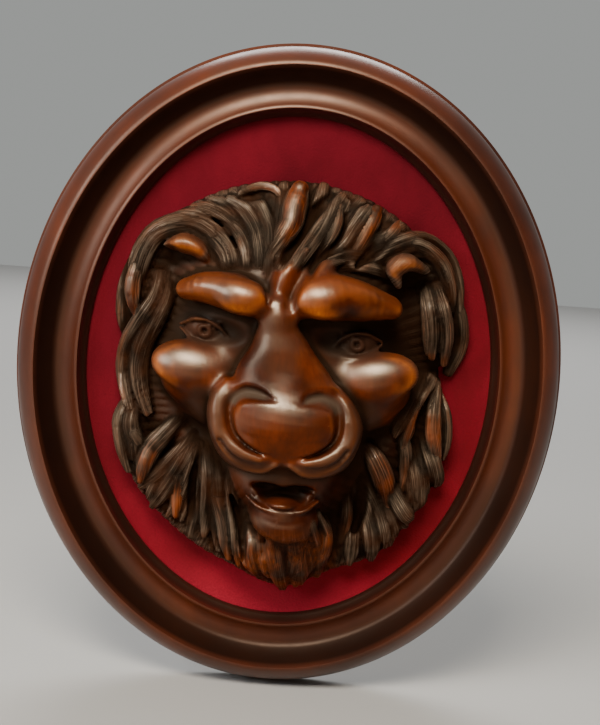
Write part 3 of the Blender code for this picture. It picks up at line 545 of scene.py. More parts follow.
def brows_and_cheeks(head):
    head.bar([(-5.5, 31, 52), (-11.5, 34.5, 53), (-20.5, 38, 52.5), (-34, 39.5, 48), (-43, 38, 41)], 18,
             [3, 7.4, 9.6, 7.6, 5.5], [6, 11, 13, 11.5, 9], blend=5)
    head.bar([(7, 31.5, 52.5), (15, 37.5, 53), (24, 40.5, 51.5), (38, 39.5, 46.5), (51, 37.5, 37.5)], 18,
             [3.2, 9.6, 11.6, 9.6, 6], [6, 12.5, 14, 12.5, 9.5], blend=5)
    head.ball((-16.5, 37, 60.5), (12, 8, 6), turn=6, tip=-23, blend=4)
    head.ball((18.5, 39, 60.5), (12.5, 9, 6.5), turn=-6, tip=-23, blend=4)
    head.ball((-42.5, -5, 27), (18.5, 16, 24.5), blend=6)
    head.ball((-37, -16, 28), (11, 12, 15), blend=10)
    head.ball((-43, 2, 45), (19.5, 12.5, 8.5), tip=-23, blend=5)
    head.ball((44.5, -2.5, 26), (18.5, 15, 24.5), turn=10, blend=6)
    head.ball((39, -12, 28), (11, 11.5, 15), turn=8, blend=10)
    head.ball((46.5, 4.5, 43.5), (20, 11.5, 8.5), turn=12, tip=-23, blend=5)


def eyes(head):
    for side in (-1, 1):
        head.ball((side * 33.5, 20.5, 55), (18.5, 8.6, 14), turn=side * 8, blend=2, carve=True)
        head.ball((side * 36.3, 18, 33.5), (11, 7.8, 10.5), turn=side * 12, blend=1)
        upper = [(24, 14.5, 42.5), (30, 21.3, 44.0), (40, 24, 43.2), (48.5, 20.5, 37)]
        lower = [(24, 13, 42.5), (31, 11.5, 44.2), (41, 13, 43.4), (48.5, 18.5, 37)]
        head.bar(upper, 14, [0.6, 1.1, 1.1, 0.7], [1.2, 1.5, 1.5, 1.2], side, blend=1.3)
        head.bar(lower, 14, [0.6, 1.0, 1.0, 0.7], [1.2, 1.4, 1.4, 1.2], side, blend=1.3)


def glabella(head):
    """The ridge between the brows and the two pointed tufts that it ends in."""
    head.bar([(-1.5, 34, 49), (0, 41, 50.5), (3.5, 50, 49.5), (12, 61, 45)], 14, [3, 5, 6.5, 1.5],
             [6, 6.5, 6.5, 3], blend=3)
    head.bar([(12, 40, 52), (16, 48, 50.5), (21, 53.5, 47), (29, 57.5, 42)], 12, [5, 5.5, 4, 0.8],
             [6, 7, 5, 2], blend=4)
    head.bar([(4.5, 34, 61), (7, 41, 61), (10.5, 50, 58), (17, 58, 53)], 14, [0.5, 1.2, 1.4, 1.1],
             [0.8, 2.6, 4.2, 3.6], blend=4, carve=True)
    head.bar([(-6, 36, 61), (-5.5, 43, 59), (-2.5, 53, 56)], 12, [0.5, 1.1, 1.3], [0.8, 2.6, 4.0],
             blend=4, carve=True)


def nose(head):
    pad = [(2.3, -5.5, 55.6), (2, -9, 57), (1.5, -12.5, 58.3), (1.2, -16, 59.6), (1, -19.8, 59.6),
           (1, -27, 54.8), (1, -33, 50)]
    head.bar(pad, 22, [15, 20, 26, 27.5, 25.5, 17.5, 7.5], [11.6, 12, 12.6, 13.1, 13, 12, 9.5], blend=2.5)
    for side in (-1, 1):
        wing = [(26.5, -4, 53.5), (30.3, -10, 55.5), (32, -18, 56.5), (30.3, -27.5, 58.5),
                (22, -36, 60.5), (11, -38.5, 61.5)]
        head.bar(wing, 20, [1.5, 3.2, 4.4, 4.2, 3.6, 2.2], [4.5, 5.8, 7, 7, 6.2, 4.5], side, blend=5)
        roll = [(34.5, -21, 53), (30, -35, 56.5), (20, -42, 59), (10, -43.3, 60), (3, -39.5, 61.5)]
        head.bar(roll, 18, [1.0, 1.5, 1.6, 1.5, 1.0], [3.4, 3.2, 3.0, 3.0, 2.8], side, blend=3)
        crease = [(30, -30, 65.5), (25.5, -36, 66.5), (18, -39.8, 67.3), (8, -40.2, 67.8)]
        head.bar(crease, 14, [0.9, 1.3, 1.3, 0.9], [2.2, 2.9, 2.9, 2.2], side, blend=2, carve=True)
        scoop = [(side * 8.5 + 3, -7.8, 76), (side * 13 + 2.2, -6.2, 74), (side * 19.5 + 1.5, -6.2, 72),
                 (side * 24.5 + 1, -10, 71), (side * 26, -17, 71), (side * 24.3, -25, 71),
                 (side * 19.3, -30.5, 71.5), (side * 13, -33.8, 73), (side * 7, -35.5, 74.5)]
        head.bar(scoop, 28, [1.2, 3.4, 4.4, 4.0, 2.8, 2.1, 1.7, 1.3, 0.8],
                 [6.5, 9.6, 11, 11, 11, 10.8, 10.4, 10, 8.5], blend=1.6, carve=True)


def mouth(head):
    head.bar([(0, -37, 73), (0, -47, 64)], 6, [1.2, 1.8], [4, 4], blend=1.2, carve=True)
    head.ball((0, -69, 42.5), (16.5, 12, 14), blend=7)
    for side in (-1, 1):
        head.ball((side * 8.5, -53.5, 62), (11, 3.6, 20), blend=1.2, carve=True)
    head.ball((0, -56.5, 62), (17.5, 5.2, 21), blend=1.2, carve=True)
    head.ball((0, -60.5, 46), (8.5, 3, 12), blend=1)
    head.bar([(-17, -58.5, 47), (-10.5, -62.4, 52.5), (0, -64.3, 54), (10.5, -62.2, 52.5), (17, -58, 47)],
             16, [0.7, 1.1, 1.2, 1.1, 0.7], [2, 2], blend=1.5)
    head.bar([(-14, -66.5, 54), (0, -69.5, 58), (14, -66, 54)], 12, [0.6, 0.9, 0.6], [1.2, 1.4, 1.2],
             blend=2, carve=True)


def ears(head):
    head.bar([(-52.5, 57.5, 32), (-46.5, 59, 36), (-39.5, 56.5, 36), (-34, 50.5, 32)], 14,
             [3, 5.2, 4.2, 2.5], [7, 8, 8, 6], blend=2)
    head.ball((-54.5, 51, 41), (6.5, 6.5, 13), blend=1.5, carve=True)
    head.bar([(56, 49.5, 32), (54.5, 55.5, 35), (60, 59, 35.5), (68, 57, 30)], 14, [2.2, 4.4, 5, 2.6],
             [6, 8, 8, 6], blend=2)
    head.ball((65.5, 51, 40), (6.5, 4.8, 12), turn=-25, blend=1.5, carve=True)


def crown(mane):
    """Fine hair that runs up and outwards, parted by furrows, with bold curling locks over it."""
    mane.fan([[(-33, 48), (-36, 56), (-45, 63), (-58, 67), (-71, 62)],
              [(-27, 49), (-31, 60), (-40, 68), (-52, 72), (-62, 71)],
              [(-21, 49), (-24, 60), (-29, 70), (-38, 77), (-48, 79)],
              [(-14, 50), (-15, 61), (-17, 71), (-22, 80), (-30, 87)]], 12, 8.5, tip=0.55, lift=(-0.6, 2.2))
    mane.fan([[(-13, 50), (-13, 60), (-13, 70), (-14, 80), (-16, 91)],
              [(-6, 52), (-2, 61), (3, 70), (7, 79), (9, 92)],
              [(4, 54), (9, 63), (13, 71), (16, 80), (20, 89)],
              [(13, 58), (20, 65), (25, 73), (29, 80), (33, 85)]], 10, 8.5, tip=0.55, lift=(-0.6, 2.0))
    mane.fan([[(22, 57), (31, 64), (40, 71), (47, 78)],
              [(27, 55), (38, 62), (50, 68), (60, 71)],
              [(31, 53), (43, 58), (56, 63), (70, 61)]], 8, 7.5, tip=0.55, lift=(-0.6, 2.0))
    mane.fan([[(14, 58), (24, 62), (36, 61), (47, 56)],
              [(19, 53.5), (28, 55), (38, 54), (48, 50)]], 4, 5.5, tip=0.5, lift=(0.4, 1.6))
    mane.parting([(16, 91), (9, 83), (2, 73), (-3, 63), (-7, 53.5)], 5.5, 3.2)
    mane.parting([(21, 79.5), (19, 70), (15, 62)], 3.2, 2.4)
    mane.parting([(46, 79), (39, 66), (29, 56)], 4.5, 3)
    mane.parting([(-58, 71), (-48, 70.5), (-37, 68.4), (-30, 62), (-25, 53.5)], 3.4, 2.6)
    mane.parting([(13, 63), (9, 57), (7, 51)], 2.6, 1.6)
    mane.parting([(-31, 83.5), (-24, 84.5), (-17, 86)], 4, 2.4)
    mane.bold([(-12.5, 47), (-13, 56), (-9, 64), (-5, 72), (-4, 80), (-2, 89)], 14, lift=3.6, root=0.35,
              full=0.85, tip=0.7, polish=1.0)
    mane.lock([(8, 57), (13, 65), (17, 74), (18, 83)], 7.5, lift=2.2, root=0.4, full=0.7, tip=0.5,
              strands=1, polish=0.6)
    mane.lock([(20, 55), (27, 63), (32, 73), (36, 83)], 11, lift=2.4, root=0.35, full=0.75, tip=0.6,
              strands=1, polish=0.75)
    mane.lock([(-23, 49), (-25, 59), (-30, 67), (-40, 73)], 8, lift=2.4, polish=0.35)
    mane.lock([(-18.5, 51), (-20.5, 61), (-20, 71), (-22, 80)], 7.5, lift=2.2, polish=0.5)
    mane.lock([(-33, 81), (-28, 86.5), (-21, 89.5), (-14, 88.5), (-10, 84)], 5, lift=2.4, root=0.5,
              full=0.5, polish=0.6)
    mane.lock([(29, 56), (37, 65), (44, 72), (48, 78)], 7.5, lift=1.8, tip=0.5, polish=0.4)


def ear_flaps(mane):
    """Hair that runs over each ear and down beside the face."""
    mane.fan([[(-40, 49), (-43, 59), (-54, 65), (-67, 61), (-73, 50), (-75, 37)],
              [(-31, 49), (-36, 63), (-52, 72), (-70, 67), (-80, 54), (-83, 36)]], 6, 7, lift=(1.2, 3.0),
             tip=0.5)
    mane.lock([(-74, 55), (-78, 44), (-79, 33), (-76, 20)], 9, lift=5, strands=3, tip=0.25, polish=0.9)
    mane.lock([(-81, 50), (-84, 36), (-84, 22), (-82, 8)], 9.5, lift=2.5, strands=3, tip=0.3, polish=0.35)
    mane.parting([(-71, 41), (-70, 31.5), (-73, 22), (-79, 12)], 3.2, 3)
    mane.fan([[(37, 50), (44, 63), (57, 66.5), (68, 60), (74, 49), (76, 36)],
              [(34, 53), (43, 67), (59, 72), (73, 65), (80, 52), (83, 37)]], 5, 7, lift=(1.2, 3.0),
             tip=0.5)
    mane.fan([[(62, 49), (64, 40), (66, 28), (68, 13)],
              [(69, 51), (73, 40), (77, 27), (79, 10)]], 5, 7, lift=(3.4, 5.2), full=0.6, strands=3,
             tip=0.45, polish=0.25)
    mane.lock([(78, 46), (82.5, 33), (84, 20), (80, 6)], 9.5, lift=3, strands=3, tip=0.65, polish=0.3)


def side_locks(mane):
    mane.fan([[(-60, 43), (-61, 31), (-65, 20), (-70, 8), (-72, -4), (-70, -16), (-65, -28)],
              [(-66, 43), (-68, 31), (-74, 20), (-80, 8), (-82, -4), (-80, -16), (-75, -29)]], 4, 8,
             lift=(3, 5), tip=0.35, root=0.5, strands=3, polish=0.3)
    mane.fan([[(-72, -18), (-74, -32), (-70, -42), (-69, -52)],
              [(-76, -16), (-81, -30), (-79, -43), (-75, -57)]], 4, 7, lift=(0.5, 2), strands=3, tip=0.4)
    mane.parting([(-49, -34), (-57, -46), (-61, -57), (-63, -65)], 4, 3)
    mane.bold([(-50, -26), (-57, -35), (-63, -42.5), (-66, -50), (-68, -60)], 12, lift=4.2, tip=0.35,
              polish=0.85)
    mane.lock([(-76, -33), (-71.5, -39), (-67, -45)], 5, lift=3.4, full=0.5, polish=0.5)
    mane.fan([[(66, 3), (59, -12), (53, -28)],
              [(73, 2), (67, -12), (61, -30)]], 4, 6, lift=(1.6, 3.4), tip=0.3, polish=0.35)
    mane.lock([(71, 4), (65, -10), (62, -21), (60, -34)], 6, lift=4.4, tip=0.3, polish=0.6)
    mane.lock([(56, -20), (61, -31), (63, -44), (62, -54)], 8, lift=3.4, tip=0.35, polish=0.6)
    mane.fan([[(64, -32), (66, -46), (68, -58), (69, -66)],
              [(70, -26), (75, -38), (78, -47), (79, -52)]], 4, 7.5, lift=(0.8, 2.6), strands=3, tip=0.4)
    mane.parting([(76, 2), (69, -12), (66, -26)], 3.4, 2.6)
    mane.lock([(74, 0), (73.5, -13), (74.5, -25), (78, -38)], 9, lift=3.6, strands=3, polish=0.7)
    mane.lock([(77, -6), (80, -15), (81.5, -26), (81, -37)], 7, lift=1.2, full=0.45)


def beard(mane):
    mane.fan([[(-43, -34), (-52, -46), (-61, -55), (-71, -62)],
              [(-42, -37), (-48, -50), (-54, -62), (-61, -74)],
              [(-40, -38), (-41, -54), (-44, -68), (-49, -83)],
              [(-36, -38), (-33, -56), (-32, -74), (-32, -93)],
              [(-24, -50), (-21, -64), (-18, -80), (-15, -99)]], 14, 8.5, lift=(-0.4, 3.0), tip=0.35,
             root=0.4)
    mane.fan([[(33, -60), (37, -72), (37, -82), (36, -95)],
              [(37, -52), (44, -66), (48, -78), (50, -92)],
              [(42, -46), (52, -62), (57, -73), (60, -84)],
              [(50, -44), (58, -57), (64, -65), (70, -69)]], 10, 8.5, lift=(-0.4, 3.0), tip=0.35)
    mane.fan([[(-14, -77), (-13, -88), (-8, -102)],
              [(-4, -77), (-1, -90), (4, -107)],
              [(6, -78), (9, -94), (12, -111)],
              [(14, -76), (18, -90), (18, -104)],
              [(20, -66), (26, -82), (28, -98)]], 10, 8.5, lift=(0.3, 1.7), tip=0.45)
    mane.parting([(-40, -45), (-42, -57), (-42, -69), (-41, -84)], 3.4, 2.8)
    mane.parting([(-22, -62), (-16, -78), (-13, -95)], 3.4, 2.4)
    mane.parting([(39, -30), (42, -48), (42, -63), (40, -77)], 6, 3)
    mane.parting([(29, -66), (30, -80), (29, -94)], 2.8, 1.8)
    mane.bold([(-44, -44), (-48, -54), (-49.5, -64), (-49, -76)], 9.5, lift=3.6, root=0.4, polish=0.85)
    mane.bold([(-39, -38), (-33, -51), (-27, -67), (-22.5, -81), (-21, -94)], 11.5, lift=3.8, root=0.3,
              full=0.75, polish=0.6)
    mane.lock([(-57, -56), (-61, -62), (-64, -70)], 6, lift=2, full=0.5, tip=0.3)
    mane.bold([(40, -30), (47, -39), (52.5, -50), (57, -64)], 12.5, lift=4, root=0.4, full=0.55, polish=0.85)
    mane.lock([(11, -83), (12, -91), (11, -100)], 9, lift=1.8, polish=0.6)
    mane.lock([(-3, -84), (-2, -92), (0, -101)], 8, lift=1.6, polish=0.5)
    mane.lock([(24, -69), (25.5, -80), (24, -94)], 9.5, lift=2.8, tip=0.45, strands=1, polish=0.65)
    mane.lock([(34, -57), (35.5, -69), (34, -83)], 7.5, lift=2.6, polish=0.5)


def flowing_ground(head):
    """Shallow, uneven grooves that run outwards over what lies between the locks."""
    u = head.axes[0][:, None]
    v = head.axes[1][None, :]
    radius = np.hypot(u + 1, v)
    angle = np.arctan2(v, u + 1)
    turned = angle + 0.25 * np.sin(angle) * (radius - 60) / 40 * np.sign(u + 1)
    wave = np.abs(np.sin(46 * turned + 2.0 * np.sin(4 * angle) + 1.1 * np.sin(radius / 9 + 5 * angle)))
    depth = 0.8 * smooth_step(54, 66, radius) * (1 - wave) ** 2
    head.value += depth[:, :, None]


def pupils(head):
    for side in (-1, 1):
        head.ball((side * 36.5, 18.5, 44.4), (5.0, 5.0, 1.3), blend=0.5, carve=True)
        head.ball((side * 36.5, 18.5, 43.7), (3.7, 3.7, 1.3), blend=0.5)
        head.ball((side * 36.5, 18.5, 45.1), (1.6, 1.6, 3.2), blend=0.4, carve=True)


def carve_head():
    """The finished carving on its grid, and the mane's locks."""
    head = Carving((-98, -120, BACK_LEVEL - 3), (98, 104, 94), GRID_STEP)
    masses(head)
    flowing_ground(head)
    nose_bridge(head)
    brows_and_cheeks(head)
    eyes(head)
    pupils(head)
    glabella(head)
    nose(head)
    mouth(head)
    mane = Mane(head)
    ears(head)
    crown(mane)
    ear_flaps(mane)
    side_locks(mane)
    beard(mane)
    head.cut_back(BACK_LEVEL)
    head.untangle()
    return head, mane.locks


def hair_places(points, locks):
    """For each point: units across and along its nearest lock, the lock's number, distance and rub."""
    nearest = np.full(len(points), 6.0)
    rubbed = np.zeros(len(points))
    across = np.zeros(len(points))
    along = np.zeros(len(points))
    owner = np.zeros(len(points))
    for number, (path, half, deep, polish) in enumerate(locks):
        reach = half.max() + 2.0
        low = path.min(0) - reach
        high = path.max(0) + reach
        near = np.flatnonzero(np.all((points > low) & (points < high), axis=1))
        if not len(near):
            continue
        there = points[near]
        distance, side, place = bar_field(path, half, deep, there[:, 0], there[:, 1], there[:, 2])
        closer = distance < nearest[near]
        chosen = near[closer]
        lengths = np.linalg.norm(np.diff(path, axis=0), axis=1)
        gone = np.concatenate([[0.0], np.cumsum(lengths)])
        nearest[chosen] = distance[closer]
        across[chosen] = side[closer] * np.interp(place[closer], np.arange(len(path)), half)
        along[chosen] = np.interp(place[closer], np.arange(len(path)), gone)
        owner[chosen] = number + 1
        run = place[closer] / (len(path) - 1)
        middle = 1 - smooth_step(0.45, 1.05, np.abs(side[closer]))
        rubbed[chosen] = polish * smooth_step(0.1, 0.7, run) * middle
    ground = nearest > 1.2
    u, v = points[ground, 0], points[ground, 1]
    across[ground] = np.arctan2(v, u + 1) * 60.0
    along[ground] = np.hypot(u + 1, v)
    owner[ground] = 0
    rubbed[ground] = 0
    return across, along, owner, nearest, rubbed


def set_values(mesh, name, values):
    attribute = mesh.attributes.new(name, "FLOAT", "POINT")
    attribute.data.foreach_set("value", np.asarray(values, np.float32))


def set_vectors(mesh, name, columns):
    attribute = mesh.attributes.new(name, "FLOAT_VECTOR", "POINT")
    attribute.data.foreach_set("vector", np.column_stack(columns).astype(np.float32).ravel())


def new_object(name, data):
    made = bpy.data.objects.new(name, data)
    bpy.context.scene.collection.objects.link(made)
    return made


def vertex_rows(mesh, name):
    """The places or normals of a mesh's vertices, one row for each."""
    values = np.zeros(len(mesh.vertices) * 3)
    mesh.vertices.foreach_get(name, values)
    return values.reshape(-1, 3)


def add_piece(name, mesh, material):
    piece = new_object(name, mesh)
    mesh.materials.clear()
    mesh.materials.append(material)
    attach(piece, "root")
    return piece


def build_head(material):
    head, locks = carve_head()
    heights = head.front()
    points, faces = head.surface()
    near_back = points[:, 2] < BACK_LEVEL + 0.45 * head.step
    points[near_back, 2] = BACK_LEVEL
    rough = bpy.data.meshes.new("carving_rough")
    rough.from_pydata(points.tolist(), [], faces.tolist())
    holder = new_object("carving_rough", rough)
    thin = holder.modifiers.new("thin", "DECIMATE")
    thin.ratio = min(1.0, HEAD_TRIANGLES / (2.0 * len(faces)))
    bpy.context.view_layer.update()
    ready = holder.evaluated_get(bpy.context.evaluated_depsgraph_get())
    mesh = bpy.data.meshes.new_from_object(ready)
    mesh.name = "lion_carving"
    bpy.data.objects.remove(holder)
    bpy.data.meshes.remove(rough)

    points = vertex_rows(mesh, "co")
    u, v, w = points.T
    across, along, owner, gap, rubbed = hair_places(points, locks)
    smoothed = [blurred(heights, reach / head.step) for reach in BLUR_REACHES]
    fine, broad, wide = [read_map(level, head.low, head.step, u, v) for level in smoothed]
    leaned = u - midline(v)
    face = np.maximum(oval("face", leaned, v), oval("brow", np.abs(leaned), v)) * smooth_step(0.0, 1.5, gap)
    for name, share in EAR_WEAR:
        face = np.maximum(face, share * oval(name, leaned, v) * smooth_step(0.0, 1.0, gap))
    round_nose = np.hypot(leaned / NOSE_HALF[0], (v - NOSE_MIDDLE) / NOSE_HALF[1])
    ring = smooth_step(0.70, 0.85, round_nose) * (1 - smooth_step(1.25, 1.4, round_nose))
    ring = ring * smooth_step(-4, -9, v)
    rim = np.maximum(ring, oval("lips", leaned, v))
    normals = vertex_rows(mesh, "normal")
    if normals[w > 40, 2].mean() < 0:
        normals = -normals
    upward = smooth_step(-0.22, 0.34, 0.85 * normals[:, 1] - 0.53 * normals[:, 0])
    matt = [oval("matt bridge", leaned, v), 0.85 * oval("matt flank", leaned, v),
            0.5 * oval("matt ridge", leaned, v), 0.6 * rim]
    dust = oval("scoop", np.abs(leaned - 1), v) * smooth_step(53, 57, w) * smooth_step(0.6, -1.2, w - fine)
    set_vectors(mesh, "hair", (across, along, owner * LOCK_SPACING))
    values = {
        "proud": w - fine,
        "raised": w - broad,
        "low": w - wide,
        "face": face,
        "rim": rim,
        "facing": np.abs(normals[:, 2]),
        "upward": upward * (1 - np.maximum.reduce(matt)),
        "dim": np.maximum(0.85 * ring, 0.6 * oval("dull bridge", leaned, v)),
        "wear": np.maximum(rubbed, 0.85 * oval("beard", u, v)),
        "dust": dust,
        "socket": oval("socket", np.abs(leaned), v),
    }
    for name, value in values.items():
        set_values(mesh, name, value)

    scale = HEAD_HEIGHT / CARVING_UNITS
    placed = np.column_stack([u, BACK_LEVEL - w, v]) * scale
    mesh.vertices.foreach_set("co", placed.ravel())
    turn = Matrix.Rotation(-HEAD_TURN, 4, "Y")
    mesh.transform(Matrix.Translation((0.0, -REBATE_DEPTH, 0.0)) @ turn)
    bm = bmesh.new()
    bm.from_mesh(mesh)
    bmesh.ops.recalc_face_normals(bm, faces=bm.faces)
    bm.to_mesh(mesh)
    bm.free()
    mesh.shade_smooth()
    piece = add_piece("lion_carving", mesh, material)
    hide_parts("lion_head")


def ring_mesh(name, rings, closed, sharp):
    """A mesh skinned over rings of points, joined end to end if closed, else filled at both ends."""
    bm = bmesh.new()
    rings = [[bm.verts.new(point) for point in ring] for ring in rings]
    pairs = list(zip(rings[:-1], rings[1:]))
    if closed:
        pairs.append((rings[-1], rings[0]))
    for here, after in pairs:
        for k in range(len(here)):
            nxt = (k + 1) % len(here)
            bm.faces.new((here[k], here[nxt], after[nxt], after[k]))
    if not closed:
        for ring in (rings[0], rings[-1]):
            bm.faces.new(ring)
    bmesh.ops.recalc_face_normals(bm, faces=bm.faces)
    mesh = bpy.data.meshes.new(name)
    bm.to_mesh(mesh)
    bm.free()
    mesh.shade_smooth()
    mesh.set_sharp_from_angle(angle=math.radians(sharp))
    return mesh


def oval_point(inset, angle):
    """Point on the oval that runs at a constant inset inside the frame's outer edge."""
    half_width = FRAME_WIDTH / 2
    half_height = FRAME_HEIGHT / 2
    x = half_width * math.cos(angle)
    z = half_height * math.sin(angle)
    normal_x = math.cos(angle) / half_width
    normal_z = math.sin(angle) / half_height
    length = math.hypot(normal_x, normal_z)
    return x - inset * normal_x / length, z - inset * normal_z / length


def arc_between(start, end, bulge, steps):
    """Points from start to end, bowed to the left of the way by bulge, without the start."""
    points = []
    run = (end[0] - start[0], end[1] - start[1])
    length = math.hypot(*run)
    left = (-run[1] / length, run[0] / length)
    for k in range(1, steps + 1):
        t = k / steps
        bow = 4 * bulge * t * (1 - t)
        points.append((start[0] + t * run[0] + bow * left[0], start[1] + t * run[1] + bow * left[1]))
    return points


def moulding_profile():
    """The frame's section as (inset, height) pairs, from its outer back corner round to it."""
    bead = (BEAD_INSET, BEAD_HEIGHT)
    arris = (ARRIS_INSET, MOULDING_DEPTH)
    arris_inner = (ARRIS_INSET + ARRIS_FLAT, MOULDING_DEPTH)
    cove = (COVE_INSET, COVE_HEIGHT)
    lip = (LIP_INSET, LIP_HEIGHT)
    lip_inner = (LIP_INSET + ARRIS_FLAT, LIP_HEIGHT)
    sight = (MOULDING_WIDTH, REBATE_DEPTH + SIGHT_EDGE)
    profile = [(ARRIS_FLAT, 0.0), (0.0, 0.3 * BEAD_HEIGHT), (0.0, 0.7 * BEAD_HEIGHT), bead]
    profile += arc_between(bead, arris, OGEE_BOW, 12)
    profile += [arris_inner]
    profile += arc_between(arris_inner, cove, -COVE_BOW, 7)
    profile += arc_between(cove, lip, -COVE_BOW, 8)
    profile += [lip_inner]
    profile += arc_between(lip_inner, sight, -SIGHT_BOW, 5)
    profile += [(MOULDING_WIDTH, REBATE_DEPTH)]
    profile += [(MOULDING_WIDTH - REBATE_WIDTH, REBATE_DEPTH)]
    profile += [(MOULDING_WIDTH - REBATE_WIDTH, 0.0)]
    return profile


def build_moulding(material):
    profile = moulding_profile()
    rings = []
    for step in range(RING_STEPS):
        places = [oval_point(inset, 2 * math.pi * step / RING_STEPS) for inset, height in profile]
        rings.append([(x, -height, z) for (x, z), (inset, height) in zip(places, profile)])
    mesh = ring_mesh("oval_moulding", rings, True, 50)
    insets = [inset if height > 0 else 0.0 for inset, height in profile]
    set_values(mesh, "inset", insets * RING_STEPS)
    piece = add_piece("oval_moulding", mesh, material)
    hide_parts("frame")


def build_velvet(material):
    """The cloth over the board: a fine oval sheet with a turned edge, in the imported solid's place."""
    inset = MOULDING_WIDTH - REBATE_WIDTH + CLEARANCE
    back = BOARD_THICKNESS + CLEARANCE
    front = back + VELVET_THICKNESS
    outline = [oval_point(inset, 2 * math.pi * step / RING_STEPS) for step in range(RING_STEPS)]
    levels = [(1.0, back), (1.0, front - VELVET_EDGE)]
    levels += [(share, front) for share in (0.97, 0.9, 0.75, 0.5, 0.25)]
    rings = [[(x * share, -level, z * share) for x, z in outline] for share, level in levels]
    mesh = ring_mesh("velvet_cloth", rings, False, 40)
    piece = add_piece("velvet_cloth", mesh, material)
    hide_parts("velvet")


class Nodes:
    """Short calls for the nodes of a tree."""

    def __init__(self, tree):
        self.tree = tree

    def feed(self, socket, value):
        """Sets a number, a vector or a colour on a socket, or links another socket to it."""
        if isinstance(value, (int, float)):
            socket.default_value = value
        elif isinstance(value, tuple):
            socket.default_value = (*value, 1.0)[:len(socket.default_value)]
        else:
            self.tree.links.new(value, socket)

    def node(self, kind, inputs=(), **settings):
        """A new node with its settings and with pairs of socket and value for its inputs."""
        made = self.tree.nodes.new(kind)
        for name, value in settings.items():
            setattr(made, name, value)
        for name, value in inputs:
            self.feed(made.inputs[name], value)
        return made

    def attribute(self, name, output="Fac"):
        return self.node("ShaderNodeAttribute", attribute_name=name).outputs[output]

    def place(self, scale=(1.0, 1.0, 1.0), source=None):
        """Object coordinates, or a given vector, stretched by a scale for each axis."""
        if source is None:
            source = self.node("ShaderNodeTexCoord").outputs["Object"]
        return self.node("ShaderNodeMapping", (("Scale", scale), ("Vector", source))).outputs["Vector"]

    def noise(self, vector, scale, detail=3.0, roughness=0.55):
        inputs = (("Scale", scale), ("Detail", detail), ("Roughness", roughness), ("Vector", vector))
        return self.node("ShaderNodeTexNoise", inputs).outputs["Fac"]

    def span(self, source, low, high, to_low=0.0, to_high=1.0):
        """A value moved from one range to another and kept inside it."""
        inputs = (("From Min", low), ("From Max", high), ("To Min", to_low), ("To Max", to_high),
                  ("Value", source))
        return self.node("ShaderNodeMapRange", inputs).outputs["Result"]

    def zone(self, source, start, full, fading, end):
        """1 between full and fading, 0 before start and after end."""
        return self.times(self.span(source, start, full), self.span(source, fading, end, 1.0, 0.0))

    def math(self, operation, a, b):
        return self.node("ShaderNodeMath", ((0, a), (1, b)), operation=operation).outputs["Value"]

    def times(self, a, b):
        return self.math("MULTIPLY", a, b)

    def plus(self, a, b):
        return self.math("ADD", a, b)

    def most(self, a, b):
        return self.math("MAXIMUM", a, b)

    def mix(self, share, first, second):
        """Two colours mixed by a share, each a socket or an RGB triple."""
        inputs = ((0, share), (6, first), (7, second))
        return self.node("ShaderNodeMix", inputs, data_type="RGBA").outputs[2]

    def bump(self, height, strength, distance, under=None):
        inputs = [("Strength", strength), ("Distance", distance), ("Height", height)]
        if under is not None:
            inputs.append(("Normal", under))
        return self.node("ShaderNodeBump", inputs).outputs["Normal"]


class Finish(Nodes):
    """A Principled material."""

    def __init__(self, name):
        self.material = bpy.data.materials.new(name)
        self.material.use_nodes = True
        super().__init__(self.material.node_tree)
        self.shader = self.tree.nodes["Principled BSDF"]

    def set(self, name, value):
        self.feed(self.shader.inputs[name], value)


